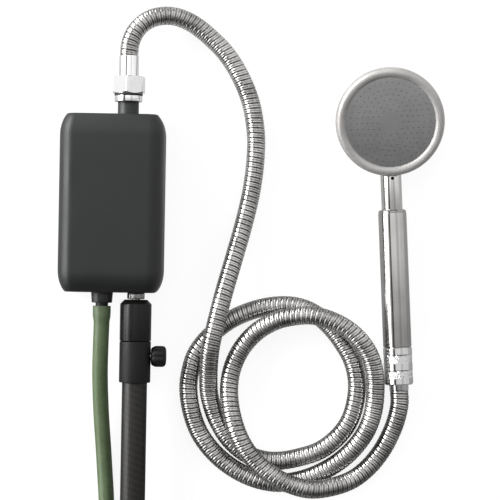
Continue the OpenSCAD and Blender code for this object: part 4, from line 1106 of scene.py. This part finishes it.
# Clamp knob
# Black knob with eight finger flutes, moulded on the head of the clamp screw.
# Turning it out frees the inner tube so that the pole can slide.
knob_place = (stand_place[0], clamp_y, stand_place[2])
knob_edge = 0.2
knob_flutes = 8
knob_flute_deep = 0.7
knob_flute_from = 5.8
knob_outline = [
    (2.5, 12.5), (6, 12.5), (6.8, 13), (7.7, 14.2), (8.4, 15.8), (8.4, 21.4), (8, 22.8), (6.8, 23.8),
    (5, 24.2), (1.2, 24.2),
]
side_knob = turned_piece("side_knob", knob_outline, closed=False, sides=points_per_flute * knob_flutes,
                         edge=knob_edge)
flute(side_knob, knob_flutes, knob_flute_deep, knob_flute_from)
put_in_place(side_knob, knob_place, facing_right, fluted_crease)
fit_piece(side_knob, collar_plastic, "clamp_knob", "black_plastic", "clamp_knob")

# Inner tube
# Aluminium tube, black anodised, that slides in the pole.
# It shows only when the pole is drawn out.
inner_bore = 6.8
inner_radius = 8
inner_to = 330.1
inner_outline = tube_outline(inner_bore, inner_radius, inner_from, inner_to)
inner_pole = turned_piece("inner_pole", inner_outline, stand_place, facing_down, edge=tube_edge)
anodised = surface_finish("anodised", dark=(0.03, 0.03, 0.032), light=(0.045, 0.045, 0.047),
                          rough=(0.25, 0.36), grain=30, brushed=(50, 1, 50), depth=0.005, metallic=0.8)
fit_piece(inner_pole, anodised, "stand_head", "pole_metal", "inner_tube")

# Pole
# Outer tube of the stand, wrapped in woven carbon under a satin lacquer, so a fine slanted weave shows.
# The collar is glued on its top and the foot socket on its end.
pole_bore = 8.65
pole_radius = 9.75
pole_to = 364.9
weave_size = 1.6
weave_slant = 35
weave_stretch = (1, 0.45, 1)
weave_dark = (0.006, 0.0058, 0.0056, 1)
weave_light = (0.021, 0.0185, 0.017, 1)
weave_share = 0.55
pole_outline = tube_outline(pole_bore, pole_radius, pole_from, pole_to)
outer_pole = turned_piece("outer_pole", pole_outline, stand_place, facing_down, edge=tube_edge)
cut_with(outer_pole, add_round(clamp_hole, clamp_hole_middle, clamp_hole_length, facing_right))
smooth_faces(outer_pole, turned_crease)
pole_map = outer_pole.data.uv_layers.new(name="wrap")
for face in outer_pole.data.polygons:
    corners = []
    for corner in face.loop_indices:
        point = outer_pole.data.vertices[outer_pole.data.loops[corner].vertex_index].co / mm
        corners.append((corner, math.atan2(point.z - stand_place[2], point.x - stand_place[0]), point.y))
    angles = [angle for _, angle, _ in corners]
    wraps = max(angles) - min(angles) > math.pi
    for corner, angle, along in corners:
        around = angle + math.tau if wraps and angle < 0 else angle
        pole_map.data[corner].uv = (around * pole_radius / weave_size, along / weave_size)
woven_carbon = surface_finish("woven_carbon", dark=(0.01, 0.0092, 0.0086), light=(0.015, 0.0138, 0.013),
                              rough=(0.34, 0.46), grain=900, depth=0.01, specular=0.3)
weave_map = add_node(woven_carbon.node_tree, "UVMap", {}, uv_map="wrap")
weave_place = add_node(woven_carbon.node_tree, "Mapping", {
    "Vector": weave_map.outputs["UV"],
    "Rotation": (0, 0, math.radians(weave_slant)),
    "Scale": weave_stretch,
})
weave_checks = add_node(woven_carbon.node_tree, "TexChecker", {
    "Vector": weave_place.outputs["Vector"],
    "Scale": 1,
    "Color1": weave_dark,
    "Color2": weave_light,
})
paint_over(woven_carbon, weave_share, weave_checks.outputs["Color"])
fit_piece(outer_pole, woven_carbon, "stand_pole", "pole_metal", "outer_tube")

# Foot socket
# Black moulded sleeve at the foot of the pole, open below for the spigot of a ground spike or tripod.
# It is glued on the pole's end.
foot_radius = 12.2
foot_from = 344.9
foot_to = 399.9
foot_chamfer = (0.6, 0.9)
spigot_bore = 8.05
spigot_from = 366.9
spigot_stop = 8.0
foot_outline = [
    (pole_seat, foot_from), *chamfered(foot_radius, foot_from, foot_to, foot_chamfer),
    (spigot_bore, foot_to), (spigot_bore, spigot_from), (spigot_stop, pole_to), (pole_seat, pole_to),
]
foot_sleeve = turned_piece("foot_sleeve", foot_outline, stand_place, facing_down, edge=moulded_edge)
fit_piece(foot_sleeve, collar_plastic, "stand_pole", "black_plastic", "foot_socket")

# Strainer and coil tie
# Slotted black strainer on the far end of the green hose, and a black strap that holds the coil.
# The strainer is moulded plastic with its cap pressed into its end, and the strap is rubber.
paint_nodes(collar_plastic, "strainer_body", "strainer_cap", "battery_cradle")
paint_nodes(black_rubber, "coil_tie")

# Pump and motor inside the case
# Centrifugal pump with its housing and impeller of white nylon, driven by a small motor in a steel can.
# The motor stands on the housing, and its shaft goes through a rubber seal.
white_nylon = surface_finish("white_nylon", dark=(0.62, 0.61, 0.57), light=(0.72, 0.71, 0.67),
                             rough=(0.35, 0.5), grain=800, depth=0.02)
paint_nodes(white_nylon, "pump_cover", "pump_housing", "impeller", "motor_cap", "guide_bush", "clamp_pad",
            "outlet_tube")
paint_nodes(turned_steel, "motor_can")
magnet_grey = surface_finish("magnet_grey", dark=(0.04, 0.04, 0.045), light=(0.07, 0.07, 0.075),
                             rough=(0.45, 0.6), grain=600, depth=0.02)
paint_nodes(magnet_grey, "motor_magnets")
wound_copper = surface_finish("wound_copper", dark=(0.45, 0.2, 0.09), light=(0.62, 0.31, 0.16),
                              rough=(0.25, 0.4), grain=500, brushed=(1, 8, 1), depth=0.05, metallic=1)
paint_nodes(wound_copper, "armature")
brass = surface_finish("brass", dark=(0.6, 0.42, 0.17), light=(0.72, 0.53, 0.25), rough=(0.25, 0.38),
                       grain=900, depth=0.01, metallic=1)
paint_nodes(brass, "stand_insert")

# Battery and electronics inside the case
# Two round cells in a cradle, a circuit board with its parts, the button's switch and the charge socket.
# The cradle stands on the floor of the rear cover and holds the cells at their ends.
cell_wrap = surface_finish("cell_wrap", dark=(0.03, 0.11, 0.2), light=(0.05, 0.16, 0.27), rough=(0.3, 0.42),
                           grain=300, depth=0.01)
paint_nodes(cell_wrap, "battery_cells")
board_green = surface_finish("board_green", dark=(0.01, 0.08, 0.035), light=(0.018, 0.12, 0.055),
                             rough=(0.3, 0.45), grain=500, depth=0.02)
paint_nodes(board_green, "circuit_board", "charge_board")
chip_black = surface_finish("chip_black", dark=(0.012, 0.012, 0.013), light=(0.022, 0.022, 0.023),
                            rough=(0.4, 0.55), grain=900, depth=0.02)
paint_nodes(chip_black, "board_parts", "button_switch")
